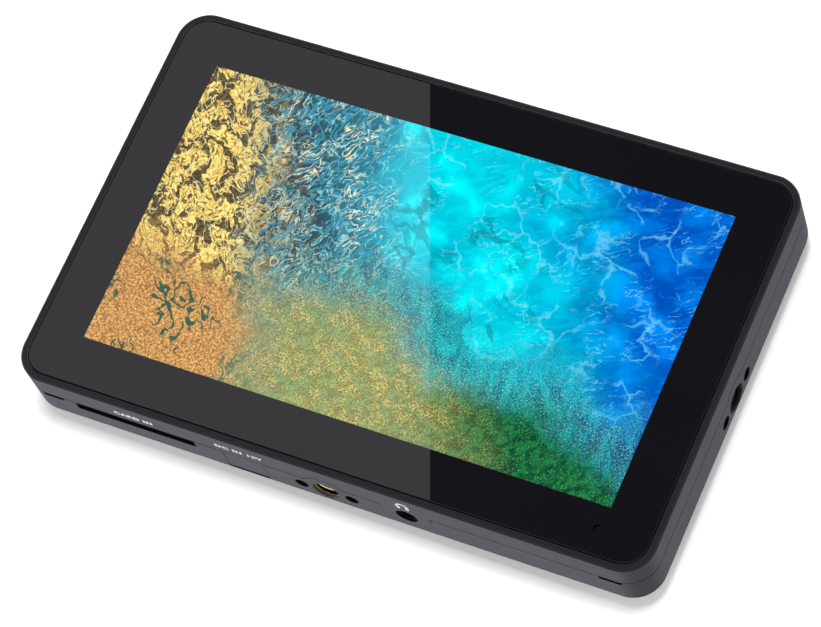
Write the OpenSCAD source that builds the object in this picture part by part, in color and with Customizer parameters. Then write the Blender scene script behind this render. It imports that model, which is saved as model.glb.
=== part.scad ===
// Camera field monitor, lying on its back: +Z points out of the screen, +Y to the
// monitor's top edge and +X to its right side. The origin is on the table, under the
// middle of the casing. All sizes are in millimetres.

/* [Body] */
// Distance from the display module's short sides to the casing's sides
side_room = 9.72; // [8.7:0.02:14]
// Distance from the display module's long sides to the casing's edges
end_room = 9.28; // [8.3:0.02:14]
// Radius of the casing's four corners
corner_r = 7; // [6:0.5:8]
// Thickness of the side walls
wall = 2; // [1.8:0.1:2.2]
// Thickness of the rear shell's back
back_t = 2; // [1.8:0.1:2.2]
// Width of the rim round the glass
rim_w = 1.5; // [1.2:0.1:1.7]
// Bevel on the rim's outer edge
rim_bevel = 0.4; // [0.2:0.1:0.6]
// Radius of the edge between the side walls and the back
back_edge_r = 2; // [1:0.25:2]
// Drop from the rim to the line where the two shells part
split_drop = 6.6; // [6.4:0.1:6.9]
// Width of the dark line between the two shells
split_gap = 0.2; // [0.1:0.05:0.3]
// Height of the tongue that keeps the two shells in line
tongue_h = 1.2; // [0.8:0.1:1.6]

/* [Screen] */
// Width of the lit picture
display_w = 120.96; // [108:0.01:140]
// Height of the lit picture
display_h = 68.04; // [61:0.01:80]
// How far the picture's middle lies above the casing's middle
display_up = 0.3; // [0:0.1:0.5]
// Dark border of the display module at its two short sides
module_side = 2.3; // [1.8:0.1:3]
// Dark border of the display module at its two long sides
module_end = 2.7; // [2:0.1:3.4]
// Thickness of the cover glass
glass_t = 1.1; // [0.9:0.1:1.3]
// Gap between the glass and the rim
glass_gap = 0.3; // [0.15:0.05:0.4]
// How far the glass lies below the rim
glass_sink = 0.1; // [0:0.05:0.3]
// Thickness of the glue line that holds the glass, and of the touch sensor inside it
glue_t = 0.3; // [0.2:0.05:0.4]
// Thickness of the liquid crystal cell
cell_t = 1.2; // [1:0.1:1.4]
// Thickness of the diffuser films
films_t = 0.3; // [0.2:0.05:0.4]
// Thickness of the light guide
guide_t = 1; // [0.8:0.1:1.2]
// Thickness of the display module's steel tray
tray_t = 0.3; // [0.2:0.05:0.4]
// Thickness of the tape between the tray and the chassis
tape_t = 0.2; // [0.1:0.05:0.3]

/* [Chassis and board] */
// Thickness of the chassis plate
chassis_t = 1; // [0.8:0.1:1.2]
// Length of the standoffs between the chassis and the board
standoff_h = 4; // [3.8:0.1:5]
// Radius of the standoffs
standoff_r = 2.2; // [2:0.1:2.4]
// Thickness of the circuit board
board_t = 1.2; // [1:0.1:1.4]
// Room between the board and the inside of the back
under_board = 3.3; // [3.3:0.1:5]
// Distance from the casing's sides to the board's short edges
board_side = 10.5; // [10.3:0.1:11]
// Distance from the casing's bottom edge to the board
board_low = 3; // [2.8:0.1:3.4]
// Distance from the casing's top edge to the board
board_high = 5; // [4.8:0.1:5.4]
// Radius of the small machine screws
screw_r = 1; // [0.8:0.1:1.1]
// Radius of the case screws' heads
case_head_r = 1.9; // [1.7:0.1:2]
// Radius of the posts that take the case screws
post_r = 2.9; // [2.7:0.1:3.2]

/* [Ports] */
// Distance from the casing's left side to the middle of the card slot
card_inset = 28; // [27:0.5:29]
// Width of the card slot in the casing
card_slot_w = 28.4; // [27.5:0.1:29]
// Width of the card socket
card_socket_w = 28; // [27:0.1:28.4]
// Distance from the casing's middle to the power flap's middle
flap_x = 18.8; // [18.4:0.1:19.4]
// Width of the power flap
flap_w = 9.4; // [9:0.1:9.8]
// Thickness of the power flap
flap_t = 1.5; // [1.3:0.1:1.6]
// Distance from the shells' split line down to the flap's hinge pin
flap_pin_drop = 6.5; // [6.4:0.1:6.6]
// Radius of the flap's hinge pin
flap_pin_r = 0.45; // [0.35:0.05:0.5]
// Radius of the power jack's mouth
dc_bore_r = 2.75; // [2.6:0.05:2.8]
// Distance from the casing's middle to the headphone jack
phones_x = 18.6; // [18.2:0.1:19]
// Radius of the headphone jack's bore
phones_bore_r = 1.8; // [1.75:0.01:1.9]
// Radius of the hole in the casing round the headphone jack
phones_hole_r = 2.42; // [2.3:0.02:2.6]
// Width of the front frame's tab round the headphone jack
phones_tab_w = 11.2; // [10.4:0.1:11.8]
// Width of the two vent notches near the bottom corners
notch_w = 5.1; // [4:0.1:6]
// Height of the two vent notches
notch_h = 1.1; // [0.8:0.1:1.4]
// Distance from the casing's sides to the middles of the vent notches
notch_inset = 8.4; // [8:0.1:9]
// Width of a video socket
video_w = 15.2; // [15:0.1:15.6]
// Height of a video socket
video_h = 5.8; // [5.6:0.1:6]
// Distance between the middles of the two video sockets
video_pitch = 24; // [22:0.5:26]

/* [Tripod threads] */
// Height of the bottom thread above the casing's back face
mount_rise = 5.9; // [5.8:0.1:6.1]
// How much nearer to the back the side thread lies
side_mount_low = 0.9; // [0:0.1:1]
// Radius of the bore in a thread insert
insert_bore_r = 2.6; // [2.5:0.05:2.7]
// Outer radius of a thread insert
insert_r = 3.9; // [3.7:0.05:4]
// Length of a thread insert
insert_l = 8; // [7:0.5:8.5]
// Radius of the hole in the casing in front of an insert
insert_mouth_r = 3.25; // [3.2:0.05:3.4]
// Radius of the plastic boss round an insert
boss_r = 5.6; // [5.5:0.1:5.8]
// Wall between an insert and each of its locating holes
locate_wall = 0.32; // [0.3:0.02:0.8]
// Radius of the locating holes
locate_r = 1.55; // [1.4:0.05:1.7]
// Depth of the locating holes
locate_l = 3; // [2.5:0.1:3.4]
// How far the side thread lies above the casing's middle
side_mount_y = 0.5; // [0:0.1:1]

/* [Power button] */
// Distance from the casing's right side to the power button
button_inset = 22.5; // [20:0.5:26]
// Width of the power button
button_w = 9; // [8:0.5:10]
// Height of the power button
button_h = 4; // [3.6:0.1:4.2]
// How far the power button stands out of the casing
button_proud = 0.6; // [0.6:0.1:1]
// Gap round the power button
button_gap = 0.12; // [0.08:0.02:0.2]

/* [Battery plate] */
// How far the battery rails stand out of the back
plate_proud = 4; // [4:0.5:5]
// Width of the battery plate
plate_w = 41; // [40:0.5:42]
// Height of the battery plate
plate_h = 74; // [72:0.5:75]
// Thickness of the battery plate
plate_t = 1.6; // [1.5:0.1:1.8]
// Depth of the pocket in the back that holds the plate
plate_pocket = 1; // [0.8:0.1:1.1]
// How far the battery plate's middle lies above the casing's middle
plate_up = 3; // [2.6:0.1:3.2]
// Distance between the outer faces of the two battery rails
rail_span = 31; // [30:0.5:32]
// Width of the battery release latch
latch_w = 12; // [11:0.5:13]
// Height of the battery release latch
latch_h = 9; // [8:0.5:9.5]
// Number of coils in the latch spring
spring_turns = 4; // [3:1:5]

/* [Hidden] */
$fn = 48;

// Heights above the table, from the back to the front
z_back = plate_proud;
z_inside = z_back + back_t;
z_board = z_inside + under_board;
z_board_top = z_board + board_t;
z_chassis = z_board_top + standoff_h;
z_chassis_top = z_chassis + chassis_t;
z_tray = z_chassis_top + tape_t;
z_guide = z_tray + tray_t;
z_films = z_guide + guide_t;
z_cell = z_films + films_t;
z_ledge = z_cell + cell_t;
z_glass = z_ledge + glue_t;
z_glass_top = z_glass + glass_t;
z_front = z_glass_top + glass_sink;
z_split = z_front - split_drop;
z_mount = z_back + mount_rise;
z_side_mount = z_mount - side_mount_low;

// The casing stands round the display module
module_w = display_w + 2 * module_side;
module_h = display_h + 2 * module_end;
body_w = module_w + 2 * side_room;
body_h = module_h + 2 * end_room;
x_right = body_w / 2;
x_left = -x_right;
y_top = body_h / 2;
y_bottom = -y_top;

// Shells
cut = 1;                       // how far a cutting shape reaches past what it cuts
fit = 0.1;                     // running gap between parts that pass through each other
ledge_t = 1.5;                 // thickness of the ledge under the glass
z_ledge_low = z_ledge - ledge_t;
tongue_t = wall / 2 - fit;     // thickness of the tongue on the rear shell
z_meet = z_split - 1;          // where the frame's bosses stand on the rear shell's posts
screw_gap = 0.02;              // between a screw and its thread
case_head_h = 1.3;
case_floor = 2.6;              // depth of a case screw's counterbore
case_screw_reach = 3.2;        // how far a case screw goes into the frame's boss
top_screw_x = 30;              // the two case screws along the top edge
// The posts stand midway between the walls and the display module
post_x = x_right - (side_room + wall) / 2;
post_y = y_top - (end_room - display_up + wall) / 2;
case_screws_at = [for (x = [-1, 1], y = [-1, 1]) [x * post_x, y * post_y],
    for (x = [-1, 1]) [x * top_screw_x, post_y]];
post_room = 0.8;               // between those posts and what goes round them

// Display module
window_gap = 0.3;              // between the display module and the frame's window
strip_w = 1.2;                 // width of the backlight's strip of lamps
glass_w = body_w - 2 * (rim_w + glass_gap);
glass_h = body_h - 2 * (rim_w + glass_gap);
glass_r = corner_r - rim_w - glass_gap;
lead_w = 16;                   // width of the display's flexible lead
lead_x = x_right - 36.5;       // middle of that lead
lead_t = 0.25;
touch_lead_w = 8;
y_module_low = display_up - module_h / 2;
y_module_high = display_up + module_h / 2;
lead_slot = 1.7;               // width of the slots that the flexible leads go through
lead_bow = 1.1;                // how far a flexible lead stands off the display module
flex_reach = 5;                // from the display module's edge in to the flexes' sockets
flex_socket = [2, 4, 1.6];     // what it is wider than its lead, its depth and its height

// Chassis
chassis_x = x_right - board_side;
chassis_y = y_top - board_low;
chassis_screw_x = x_right - 22.5;
chassis_screw_inset = 5.4;     // from the casing's long edges
chassis_boss_r = 2.2;
chassis_head_h = 0.6;
chassis_head_r = 1.7;
chassis_screws_at = [for (x = [-1, 1], y = [-1, 1])
    [x * chassis_screw_x, y * (y_top - chassis_screw_inset)]];

// Board
y_board_low = y_bottom + board_low;
y_board_high = y_top - board_high;
post_inset = 8;                // from the board's edges to its standoffs
standoffs_at = [[-chassis_x + post_inset, y_board_high - post_inset + 1],
    [chassis_x - post_inset, y_board_high - post_inset + 1],
    [chassis_x - post_inset, y_board_low + post_inset + 1],
    [-chassis_x + post_inset, -10], [-flap_x + 1, y_board_low + 16]];
board_head_h = 1.1;
board_head_r = 1.8;
board_screw_l = 2.6;           // how far a board screw goes into its standoff
board_gap = 0.2;               // between the board and what stands in its notches
chip = [19, 19, 1.3];
chip_at = [8, 4];
memory = [10, 8, 1];
memory_at = [[-9, 9], [-9, -2]];
coil = [6.2, 6.2, 2.7];
coil_at = [[-42, 30], [-33, 30], [-33, 20]];
capacitor_r = 2.4;
capacitor_h = 2.8;
capacitor_at = [[38, 18], [38, 26], [45, 26]];
pad = [17, 17, 0.8];
spreader = [46, 34, 0.8];

// Card socket
card_x = x_right - card_inset;
card_socket_h = 2.8;
card_socket_l = 28;
card_sheet = 0.3;              // thickness of its sheet steel
y_socket = y_bottom + wall + fit;
z_card_slot = z_board_top + 0.15;

// Power jack and its flap
flap_knuckle_r = 0.85;
flap_gap = 0.12;
flap_y = y_bottom + flap_knuckle_r;
flap_z = z_split - flap_pin_drop;
flap_top = z_split - split_gap / 2;
flap_pin_out = 1.4;            // how far the pin goes into the casing at each side
dc_z = flap_z + flap_knuckle_r + dc_bore_r;
dc_body = [9, 11, 7.2];
dc_bore_l = 9.5;
dc_pin_r = 1.05;
dc_pin_l = 8;

// Headphone jack
phones_z = z_board_top + 0.5;
phones_body = [6, 12, 5];
phones_bore_l = 11;
phones_nose = 1.6;             // length of its nose inside the casing's hole
phones_tab_drop = 3.4;         // from the jack's middle to the tab's lower edge
phones_tab_r = 2.5;
phones_tab_gap = 0.06;         // the tab fits the rear shell closely
phones_tick = 1.6;             // length of the open line at the tab's right side

// Video sockets
video_l = 11.5;
video_sheet = 0.4;
video_y = 2;                   // middle between the two sockets
video_z = z_board_top - 0.5;
video_gap = 0.25;
tongue = [7, 11, 1.1];

// Feet that carry the sockets let into the board
foot_t = 0.4;
foot_l = 3;
foot_out = 1;                  // how far a foot reaches past its socket

// Thread inserts
insert_skin = 0.6;             // plastic left in front of an insert
boss_l = insert_skin + insert_l + 1;
locate_boss_r = locate_r + 1;
locate_pitch = insert_r + locate_wall + locate_r;
thread_room = 0.8;             // between the thread bosses and what goes round them

// Indicator
indicator_x = display_w / 2 - 1.2;
indicator_y = y_module_low - 2.7;
pipe_r = 1;
pipe_flange = [1.6, 0.6];
led = [1.6, 1.2, 0.8];

// Power button
button_x = x_right - button_inset;
button_z = z_board + board_t / 2;
button_travel = 0.5;
button_flange_t = 0.8;
button_flange = 1;             // how far the flange reaches past the button
button_seat = 0.2;             // gap between the flange and the casing's wall
y_flange = y_top - wall - button_seat;
plunger_r = 1.2;
plunger_l = 2.7;
switch_box = [6.2, 3.4, 4.4];
y_switch = y_board_high;
switch_stand = 1.2;            // how far the plunger stands out of the switch

// Battery plate
z_plate_top = z_back + plate_pocket;
z_plate = z_plate_top - plate_t;
rail_w = 2;
rail_l = 62;
hook_w = 3;
hook_l = 10;
hook_t = 1.2;
hook_at = [-22, 14];
contact_w = 24;
contact_l = 7;
contact_stand = 2.6;           // how far the contact block stands off the plate
contact_y = plate_up + plate_h / 2 - 7;
blade = [0.6, 4, 4.6];
blade_pitch = 6;
plate_screw_inset = 3;
plate_head_r = 1.8;
latch_y = plate_up - plate_h / 2 + 11;
latch_stand = 1.8;             // how far the latch stands off the plate
tooth = [6, 2.2, 1.1];
latch_travel = 1.5;
latch_flange_t = 1;
latch_flange = 1;
cup_wall = 1;
cup_h = z_board - 0.3 - z_plate_top;
spring_wire = 0.2;
spring_r = 2.4;
lead_hole = [2 * blade_pitch + 3, blade.y + 1];
lead_r = 0.6;
lead_apart = 1.3;              // from the contacts' middle to each lead
lead_start = 2;                // the leads run straight for this length first
socket_x = 16;                 // middle of the socket that the battery leads go to
lead_socket_size = [5, 8, 3.2];

// Vents in the back
vent_n = 6;
vent_pitch = 5;
vent_w = 1.8;
vent_l = 26;
vent_x = plate_w / 2 + 9;
vent_y = 6;

// Finishes
casing_black = [0.13, 0.13, 0.14];
board_green = [0.05, 0.22, 0.12];
steel = [0.72, 0.72, 0.74];
tin = [0.8, 0.8, 0.78];
brass = [0.8, 0.62, 0.3];
chip_black = [0.08, 0.08, 0.09];

// Building blocks -----------------------------------------------------------------

module rounded_rect(w, h, r) {
    square([w - 2 * r, h], center = true);
    square([w, h - 2 * r], center = true);
    for (x = [-1, 1], y = [-1, 1])
        translate([x * (w / 2 - r), y * (h / 2 - r)]) circle(r);
}

// A flat piece with rounded corners, between two heights
module slab(w, h, r, z0, z1) {
    translate([0, 0, z0]) linear_extrude(z1 - z0) rounded_rect(w, h, r);
}

module box(x0, x1, y0, y1, z0, z1) {
    translate([x0, y0, z0]) cube([x1 - x0, y1 - y0, z1 - z0]);
}

module rod_x(y, z, r, x0, x1) {
    translate([x0, y, z]) rotate([0, 90, 0]) cylinder(r = r, h = x1 - x0);
}

module rod_y(x, z, r, y0, y1) {
    translate([x, y0, z]) rotate([-90, 0, 0]) cylinder(r = r, h = y1 - y0);
}

module rod_z(x, y, r, z0, z1) {
    translate([x, y, z0]) cylinder(r = r, h = z1 - z0);
}

// Runs a profile round the casing's outline. In the profile, x is the distance in
// from the casing's side, and y is the height.
module round_the_casing() {
    for (i = [0 : 3]) {
        long = i % 2 == 0;
        run = (long ? body_w : body_h) - 2 * corner_r;
        off = long ? y_top : x_right;
        rotate([0, 0, 90 * i]) translate([-run / 2, -off, 0])
            rotate([90, 0, 90]) linear_extrude(run) children();
    }
    for (x = [0, 1], y = [0, 1])
        mirror([x, 0, 0]) mirror([0, y, 0])
            translate([x_right - corner_r, y_top - corner_r, 0])
                rotate_extrude(angle = 90) translate([corner_r, 0]) mirror([1, 0]) children();
}

// A tube along a path that is nowhere upright
function side_of(t) = let (s = cross(t, [0, 0, 1])) s / norm(s);
function ring(p, t, r, n) = let (s = side_of(t), u = cross(s, t) / norm(cross(s, t)))
    [for (k = [0 : n - 1]) p + r * (cos(360 * k / n) * s + sin(360 * k / n) * u)];
function along(p, i) = p[min(i + 1, len(p) - 1)] - p[max(i - 1, 0)];
module tube(path, r, n = 8) {
    m = len(path);
    points = [for (i = [0 : m - 1]) each ring(path[i], along(path, i), r, n)];
    walls = [for (i = [0 : m - 2], k = [0 : n - 1]) let (a = i * n, j = (k + 1) % n)
        each [[a + k, a + j, a + n + j], [a + k, a + n + j, a + n + k]]];
    first = [for (k = [n - 1 : -1 : 0]) k];
    last = [for (k = [0 : n - 1]) (m - 1) * n + k];
    polyhedron(points, concat([first, last], walls));
}

// Front ---------------------------------------------------------------------------

module phones_tab(grow, y0, y1) {
    low = phones_z - phones_tab_drop - grow;
    high = z_split + tongue_h + cut;
    translate([phones_x, y0, (low + high) / 2]) rotate([-90, 0, 0])
        linear_extrude(y1 - y0)
            rounded_rect(phones_tab_w + 2 * grow, high - low, phones_tab_r);
}

module lead_slots(z0, z1) {
    box(lead_x - lead_w / 2 - 1, lead_x + lead_w / 2 + 1,
        y_module_low - window_gap - lead_slot, y_module_low, z0, z1);
    box(-touch_lead_w / 2 - 1, touch_lead_w / 2 + 1,
        y_module_high, y_module_high + window_gap + lead_slot, z0, z1);
}

module frame_walls() {
    difference() {
        slab(body_w, body_h, corner_r, z_split + split_gap / 2, z_front);
        slab(body_w - 2 * rim_w, body_h - 2 * rim_w, corner_r - rim_w,
            z_ledge, z_front + cut);
        slab(body_w - 2 * wall, body_h - 2 * wall, corner_r - wall,
            z_split - cut, z_ledge_low);
        // room for the rear shell's tongue
        slab(body_w - wall, body_h - wall, corner_r - wall / 2,
            z_split - cut, z_split + tongue_h + fit);
        translate([0, display_up, 0])
            slab(module_w + 2 * window_gap, module_h + 2 * window_gap, 0.5,
                z_ledge_low - cut, z_ledge + cut);
        round_the_casing() polygon([[-cut, z_front - rim_bevel - cut],
            [rim_bevel + cut, z_front + cut], [-cut, z_front + cut]]);
    }
}

module front_frame() color(casing_black) difference() {
    union() {
        frame_walls();
        phones_tab(0, y_bottom, y_bottom + wall);
        for (p = case_screws_at) rod_z(p.x, p.y, post_r, z_meet, z_ledge_low + 0.2);
        for (p = chassis_screws_at)
            rod_z(p.x, p.y, chassis_boss_r, z_chassis_top, z_ledge_low + 0.2);
    }
    for (p = case_screws_at)
        rod_z(p.x, p.y, screw_r + screw_gap, z_meet - cut, z_meet + case_screw_reach + 0.4);
    for (p = chassis_screws_at)
        rod_z(p.x, p.y, screw_r + screw_gap, z_chassis_top - cut, z_ledge_low + 0.3);
    rod_y(phones_x, phones_z, phones_hole_r, y_bottom - cut, y_bottom + wall + cut);
    rod_z(indicator_x, indicator_y, pipe_r + 0.05, z_ledge_low - cut, z_ledge + cut);
    rod_y(0, z_mount, boss_r + split_gap, y_bottom - cut, y_bottom + boss_l + fit);
    rod_x(side_mount_y, z_side_mount, boss_r + split_gap, x_right - boss_l - fit,
        x_right + cut);
    card_slot_cut();
    lead_slots(z_ledge_low - cut, z_ledge + cut);
}

module cover_glass() color([0.04, 0.04, 0.05])
    slab(glass_w, glass_h, glass_r, z_glass, z_glass_top);

module glass_glue() color([0.1, 0.1, 0.1]) difference() {
    slab(glass_w - 0.6, glass_h - 0.6, glass_r - 0.3, z_ledge, z_glass);
    translate([0, display_up, 0])
        slab(module_w + 2 * window_gap + 1, module_h + 2 * window_gap + 1, 0.5,
            z_ledge - cut, z_glass + cut);
    rod_z(indicator_x, indicator_y, pipe_r + 0.5, z_ledge - cut, z_glass + cut);
    lead_slots(z_ledge - cut, z_glass + cut);
}

module touch_sensor() color([0.25, 0.28, 0.3])
    translate([0, display_up, 0]) slab(module_w, module_h, 0.4, z_ledge, z_glass);

module display_cell() color([0.1, 0.12, 0.18])
    translate([0, display_up, 0]) slab(module_w, module_h, 0.4, z_cell, z_ledge);

module diffuser_films() color([0.92, 0.93, 0.94])
    translate([0, display_up, 0])
        slab(display_w + 2, display_h + 2, 0.4, z_films, z_cell);

module light_guide() color([0.85, 0.9, 0.92])
    box(-display_w / 2 - 1 + strip_w, display_w / 2 + 1,
        display_up - display_h / 2 - 1, display_up + display_h / 2 + 1, z_guide, z_films);

module backlight_strip() color([0.95, 0.93, 0.8])
    box(-display_w / 2 - 1, -display_w / 2 - 1 + strip_w - fit,
        display_up - display_h / 2, display_up + display_h / 2, z_guide, z_films);

module display_tray() color(steel) translate([0, display_up, 0]) difference() {
    slab(module_w, module_h, 0.4, z_tray, z_cell);
    slab(module_w - 2 * tray_t, module_h - 2 * tray_t, 0.2, z_guide, z_cell + cut);
}

module display_tape() color([0.3, 0.3, 0.32]) for (x = [-1, 1])
    translate([x * display_w / 3, display_up, 0]) slab(10, display_h - 6, 0.5,
        z_chassis_top, z_tray);

// Chassis and board ---------------------------------------------------------------

module chassis_plate() color([0.6, 0.61, 0.63]) difference() {
    union() {
        slab(2 * chassis_x, 2 * chassis_y, 2, z_chassis, z_chassis_top);
        for (p = standoffs_at) rod_z(p.x, p.y, standoff_r, z_board_top, z_chassis + 0.1);
    }
    for (p = standoffs_at)
        rod_z(p.x, p.y, screw_r + screw_gap, z_board_top - cut, z_board_top + 3);
    for (p = chassis_screws_at)
        rod_z(p.x, p.y, screw_r + fit, z_chassis - cut, z_chassis_top + cut);
    rod_z(indicator_x, indicator_y, pipe_flange.x, z_chassis - cut, z_chassis_top + cut);
    lead_slots(z_chassis - cut, z_chassis_top + cut);
    box(-boss_r - thread_room, boss_r + thread_room, y_bottom, y_bottom + boss_l + thread_room,
        z_chassis - cut, z_chassis_top + cut);
    for (x = [-1, 1])
        box(x * top_screw_x - post_r - post_room, x * top_screw_x + post_r + post_room,
            post_y - post_r - post_room, y_top, z_chassis - cut, z_chassis_top + cut);
}

module screw_up(p, head_r, head_h, z_seat, z_tip) {
    rod_z(p.x, p.y, head_r, z_seat - head_h, z_seat);
    rod_z(p.x, p.y, screw_r, z_seat - head_h / 2, z_tip);
}

module cross_slot(p, z_low, size) {
    for (a = [0, 90]) translate([p.x, p.y, z_low]) rotate([0, 0, a])
        cube([size, size / 4, size / 2], center = true);
}

module chassis_screws() color(steel) for (p = chassis_screws_at) difference() {
    screw_up(p, chassis_head_r, chassis_head_h, z_chassis, z_ledge_low);
    cross_slot(p, z_chassis - chassis_head_h, chassis_head_r);
}

module main_board() color(board_green) difference() {
    translate([0, (y_board_low + y_board_high) / 2, 0])
        slab(2 * chassis_x, y_board_high - y_board_low, 1.5, z_board, z_board_top);
    for (p = standoffs_at)
        rod_z(p.x, p.y, screw_r + fit, z_board - cut, z_board_top + cut);
    box(-locate_pitch - locate_boss_r - board_gap, locate_pitch + locate_boss_r + board_gap,
        y_bottom, y_bottom + boss_l + thread_room, z_board - cut, z_board_top + cut);
    board_notch(-flap_x, dc_body.x, y_socket + dc_body.y);
    board_notch(phones_x, phones_body.x, y_socket + phones_body.y);
    for (s = [-1, 1])
        box(-chassis_x - cut, x_left + wall + fit + video_l + board_gap,
            video_y + s * video_pitch / 2 - video_w / 2 - board_gap,
            video_y + s * video_pitch / 2 + video_w / 2 + board_gap,
            z_board - cut, z_board_top + cut);
    box(button_x - switch_box.x / 2 - board_gap, button_x + switch_box.x / 2 + board_gap,
        y_switch - switch_box.y - board_gap, y_board_high + cut,
        z_board - cut, z_board_top + cut);
    for (x = [-1, 1])
        box(x * top_screw_x - post_r - post_room, x * top_screw_x + post_r + post_room,
            post_y - post_r - post_room, y_top, z_board - cut, z_board_top + cut);
}

module board_notch(x, w, y_end) {
    box(x - w / 2 - board_gap, x + w / 2 + board_gap, y_board_low - cut,
        y_end + board_gap, z_board - cut, z_board_top + cut);
}

module board_screws() color(steel) for (p = standoffs_at) difference() {
    screw_up(p, board_head_r, board_head_h, z_board, z_board_top + board_screw_l);
    cross_slot(p, z_board - board_head_h, board_head_r);
}

// A chip on the board's back
module on_board_back(at, size) {
    translate([at.x - size.x / 2, at.y - size.y / 2, z_board - size.z]) cube(size);
}

module video_processor() color(chip_black) on_board_back(chip_at, chip);

module memory_chips() color(chip_black) for (p = memory_at) on_board_back(p, memory);

module power_coils() color([0.25, 0.25, 0.27]) for (p = coil_at) on_board_back(p, coil);

module filter_capacitors() color(tin) for (p = capacitor_at)
    rod_z(p.x, p.y, capacitor_r, z_board - capacitor_h, z_board);

module thermal_pad() color([0.55, 0.6, 0.75]) translate([0, 0, -chip.z])
    on_board_back(chip_at, pad);

module heat_spreader() color(steel) translate([0, 0, -chip.z - pad.z])
    on_board_back(chip_at, spreader);

// Sockets -------------------------------------------------------------------------

module card_slot_cut() {
    box(-card_x - card_slot_w / 2, -card_x + card_slot_w / 2, y_bottom - cut,
        y_bottom + wall + cut, z_card_slot, z_split);
}

module card_socket() color(steel) difference() {
    box(-card_x - card_socket_w / 2, -card_x + card_socket_w / 2, y_socket,
        y_socket + card_socket_l, z_board_top, z_board_top + card_socket_h);
    box(-card_x - card_socket_w / 2 + 1.6, -card_x + card_socket_w / 2 - 1.6,
        y_socket - cut, y_socket + card_socket_l - card_sheet,
        z_board_top + card_sheet, z_board_top + card_socket_h - card_sheet);
}

// Two feet on the board, under a socket of width w whose back is at y_end
module feet(x, w, y_end) for (s = [-1, 1])
    box(x + s * w / 2 - foot_out, x + s * w / 2 + foot_out, y_end - foot_l, y_end,
        z_board_top, z_board_top + foot_t);

module dc_jack() color(chip_black) difference() {
    union() {
        box(-flap_x - dc_body.x / 2, -flap_x + dc_body.x / 2, y_socket,
            y_socket + dc_body.y, dc_z - dc_body.z / 2, dc_z + dc_body.z / 2);
        feet(-flap_x, dc_body.x, y_socket + dc_body.y);
    }
    rod_y(-flap_x, dc_z, dc_bore_r, y_socket - cut, y_socket + dc_bore_l);
}

module dc_jack_pin() color(tin)
    rod_y(-flap_x, dc_z, dc_pin_r, y_socket + dc_bore_l - dc_pin_l, y_socket + dc_bore_l);

module headphone_jack() color(chip_black) difference() {
    union() {
        box(phones_x - phones_body.x / 2, phones_x + phones_body.x / 2, y_socket,
            y_socket + phones_body.y, phones_z - phones_body.z / 2,
            phones_z + phones_body.z / 2);
        feet(phones_x, phones_body.x, y_socket + phones_body.y);
        rod_y(phones_x, phones_z, phones_hole_r - fit, y_socket - phones_nose,
            y_socket + 0.5);
    }
    rod_y(phones_x, phones_z, phones_bore_r, y_socket - phones_nose - cut,
        y_socket + phones_bore_l);
}

// The outline of a video socket's shell, with its two lower corners cut
module video_outline(grow) {
    w = video_w / 2 + grow;
    h = video_h / 2 + grow;
    polygon([[-w, h], [w, h], [w, -h + 2], [w - 1.8, -h], [-w + 1.8, -h], [-w, -h + 2]]);
}

module video_socket_shape(s, grow, x0, x1) {
    translate([x0, video_y + s * video_pitch / 2, video_z])
        rotate([90, 0, 90]) linear_extrude(x1 - x0) video_outline(grow);
}

module video_socket(s) {
    x0 = x_left + wall + fit;
    difference() {
        union() {
            video_socket_shape(s, 0, x0, x0 + video_l);
            translate([0, video_y + s * video_pitch / 2, 0]) rotate([0, 0, -90])
                feet(0, video_w, x0 + video_l);
        }
        video_socket_shape(s, -video_sheet, x0 - cut, x0 + video_l - video_sheet);
    }
}

module video_in_socket() color(tin) video_socket(1);

module video_out_socket() color(tin) video_socket(-1);

module video_tongues() color(chip_black) for (s = [-1, 1]) {
    x_end = x_left + wall + fit + video_l - video_sheet;
    translate([x_end - tongue.x, video_y + s * video_pitch / 2 - tongue.y / 2,
        video_z - tongue.z / 2]) cube(tongue);
}

module flex_sockets() color([0.85, 0.82, 0.72]) {
    s = flex_socket;
    y0 = y_module_low + flex_reach;
    box(lead_x - lead_w / 2 - s.x, lead_x + lead_w / 2 + s.x, y0, y0 + s.y,
        z_board_top, z_board_top + s.z);
    y1 = y_module_high - flex_reach;
    box(-touch_lead_w / 2 - s.x, touch_lead_w / 2 + s.x, y1 - s.y, y1,
        z_board_top, z_board_top + s.z);
}

// A flexible lead leaves the module's edge, bows out, comes down and runs back inwards
module flexible_lead(x, w, z_top, reach) {
    z_low = z_board_top + flex_socket.z / 2;
    translate([x - w / 2, 0, 0]) rotate([90, 0, 90]) linear_extrude(w) difference() {
        translate([-lead_bow, z_low]) square([lead_bow + reach, z_top - z_low]);
        translate([-lead_bow + lead_t, z_low + lead_t])
            square([lead_bow + reach, z_top - z_low - 2 * lead_t]);
        translate([0, z_top - lead_t - fit]) square([reach + cut, lead_t + fit + cut]);
    }
}

module display_flex() color([0.75, 0.45, 0.12])
    translate([0, y_module_low, 0])
        flexible_lead(lead_x, lead_w, z_ledge - 0.4, flex_reach);

module touch_flex() color([0.75, 0.45, 0.12])
    translate([0, y_module_high, 0]) rotate([0, 0, 180])
        flexible_lead(0, touch_lead_w, z_glass, flex_reach);

module indicator_led() color([0.9, 0.95, 0.9])
    translate([indicator_x - led.x / 2, indicator_y - led.y / 2, z_board_top]) cube(led);

module light_pipe() color([0.9, 0.92, 0.95]) {
    rod_z(indicator_x, indicator_y, pipe_r, z_board_top + led.z + 0.2, z_glass);
    rod_z(indicator_x, indicator_y, pipe_flange.x - fit, z_ledge_low - pipe_flange.y,
        z_ledge_low);
}

// Power button --------------------------------------------------------------------

module stadium(w, h) {
    square([w - h, h], center = true);
    for (x = [-1, 1]) translate([x * (w - h) / 2, 0]) circle(h / 2);
}

module button_shape(grow, y0, y1) {
    translate([button_x, y0, button_z]) rotate([-90, 0, 0]) linear_extrude(y1 - y0)
        stadium(button_w + 2 * grow, button_h + 2 * grow);
}

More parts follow.
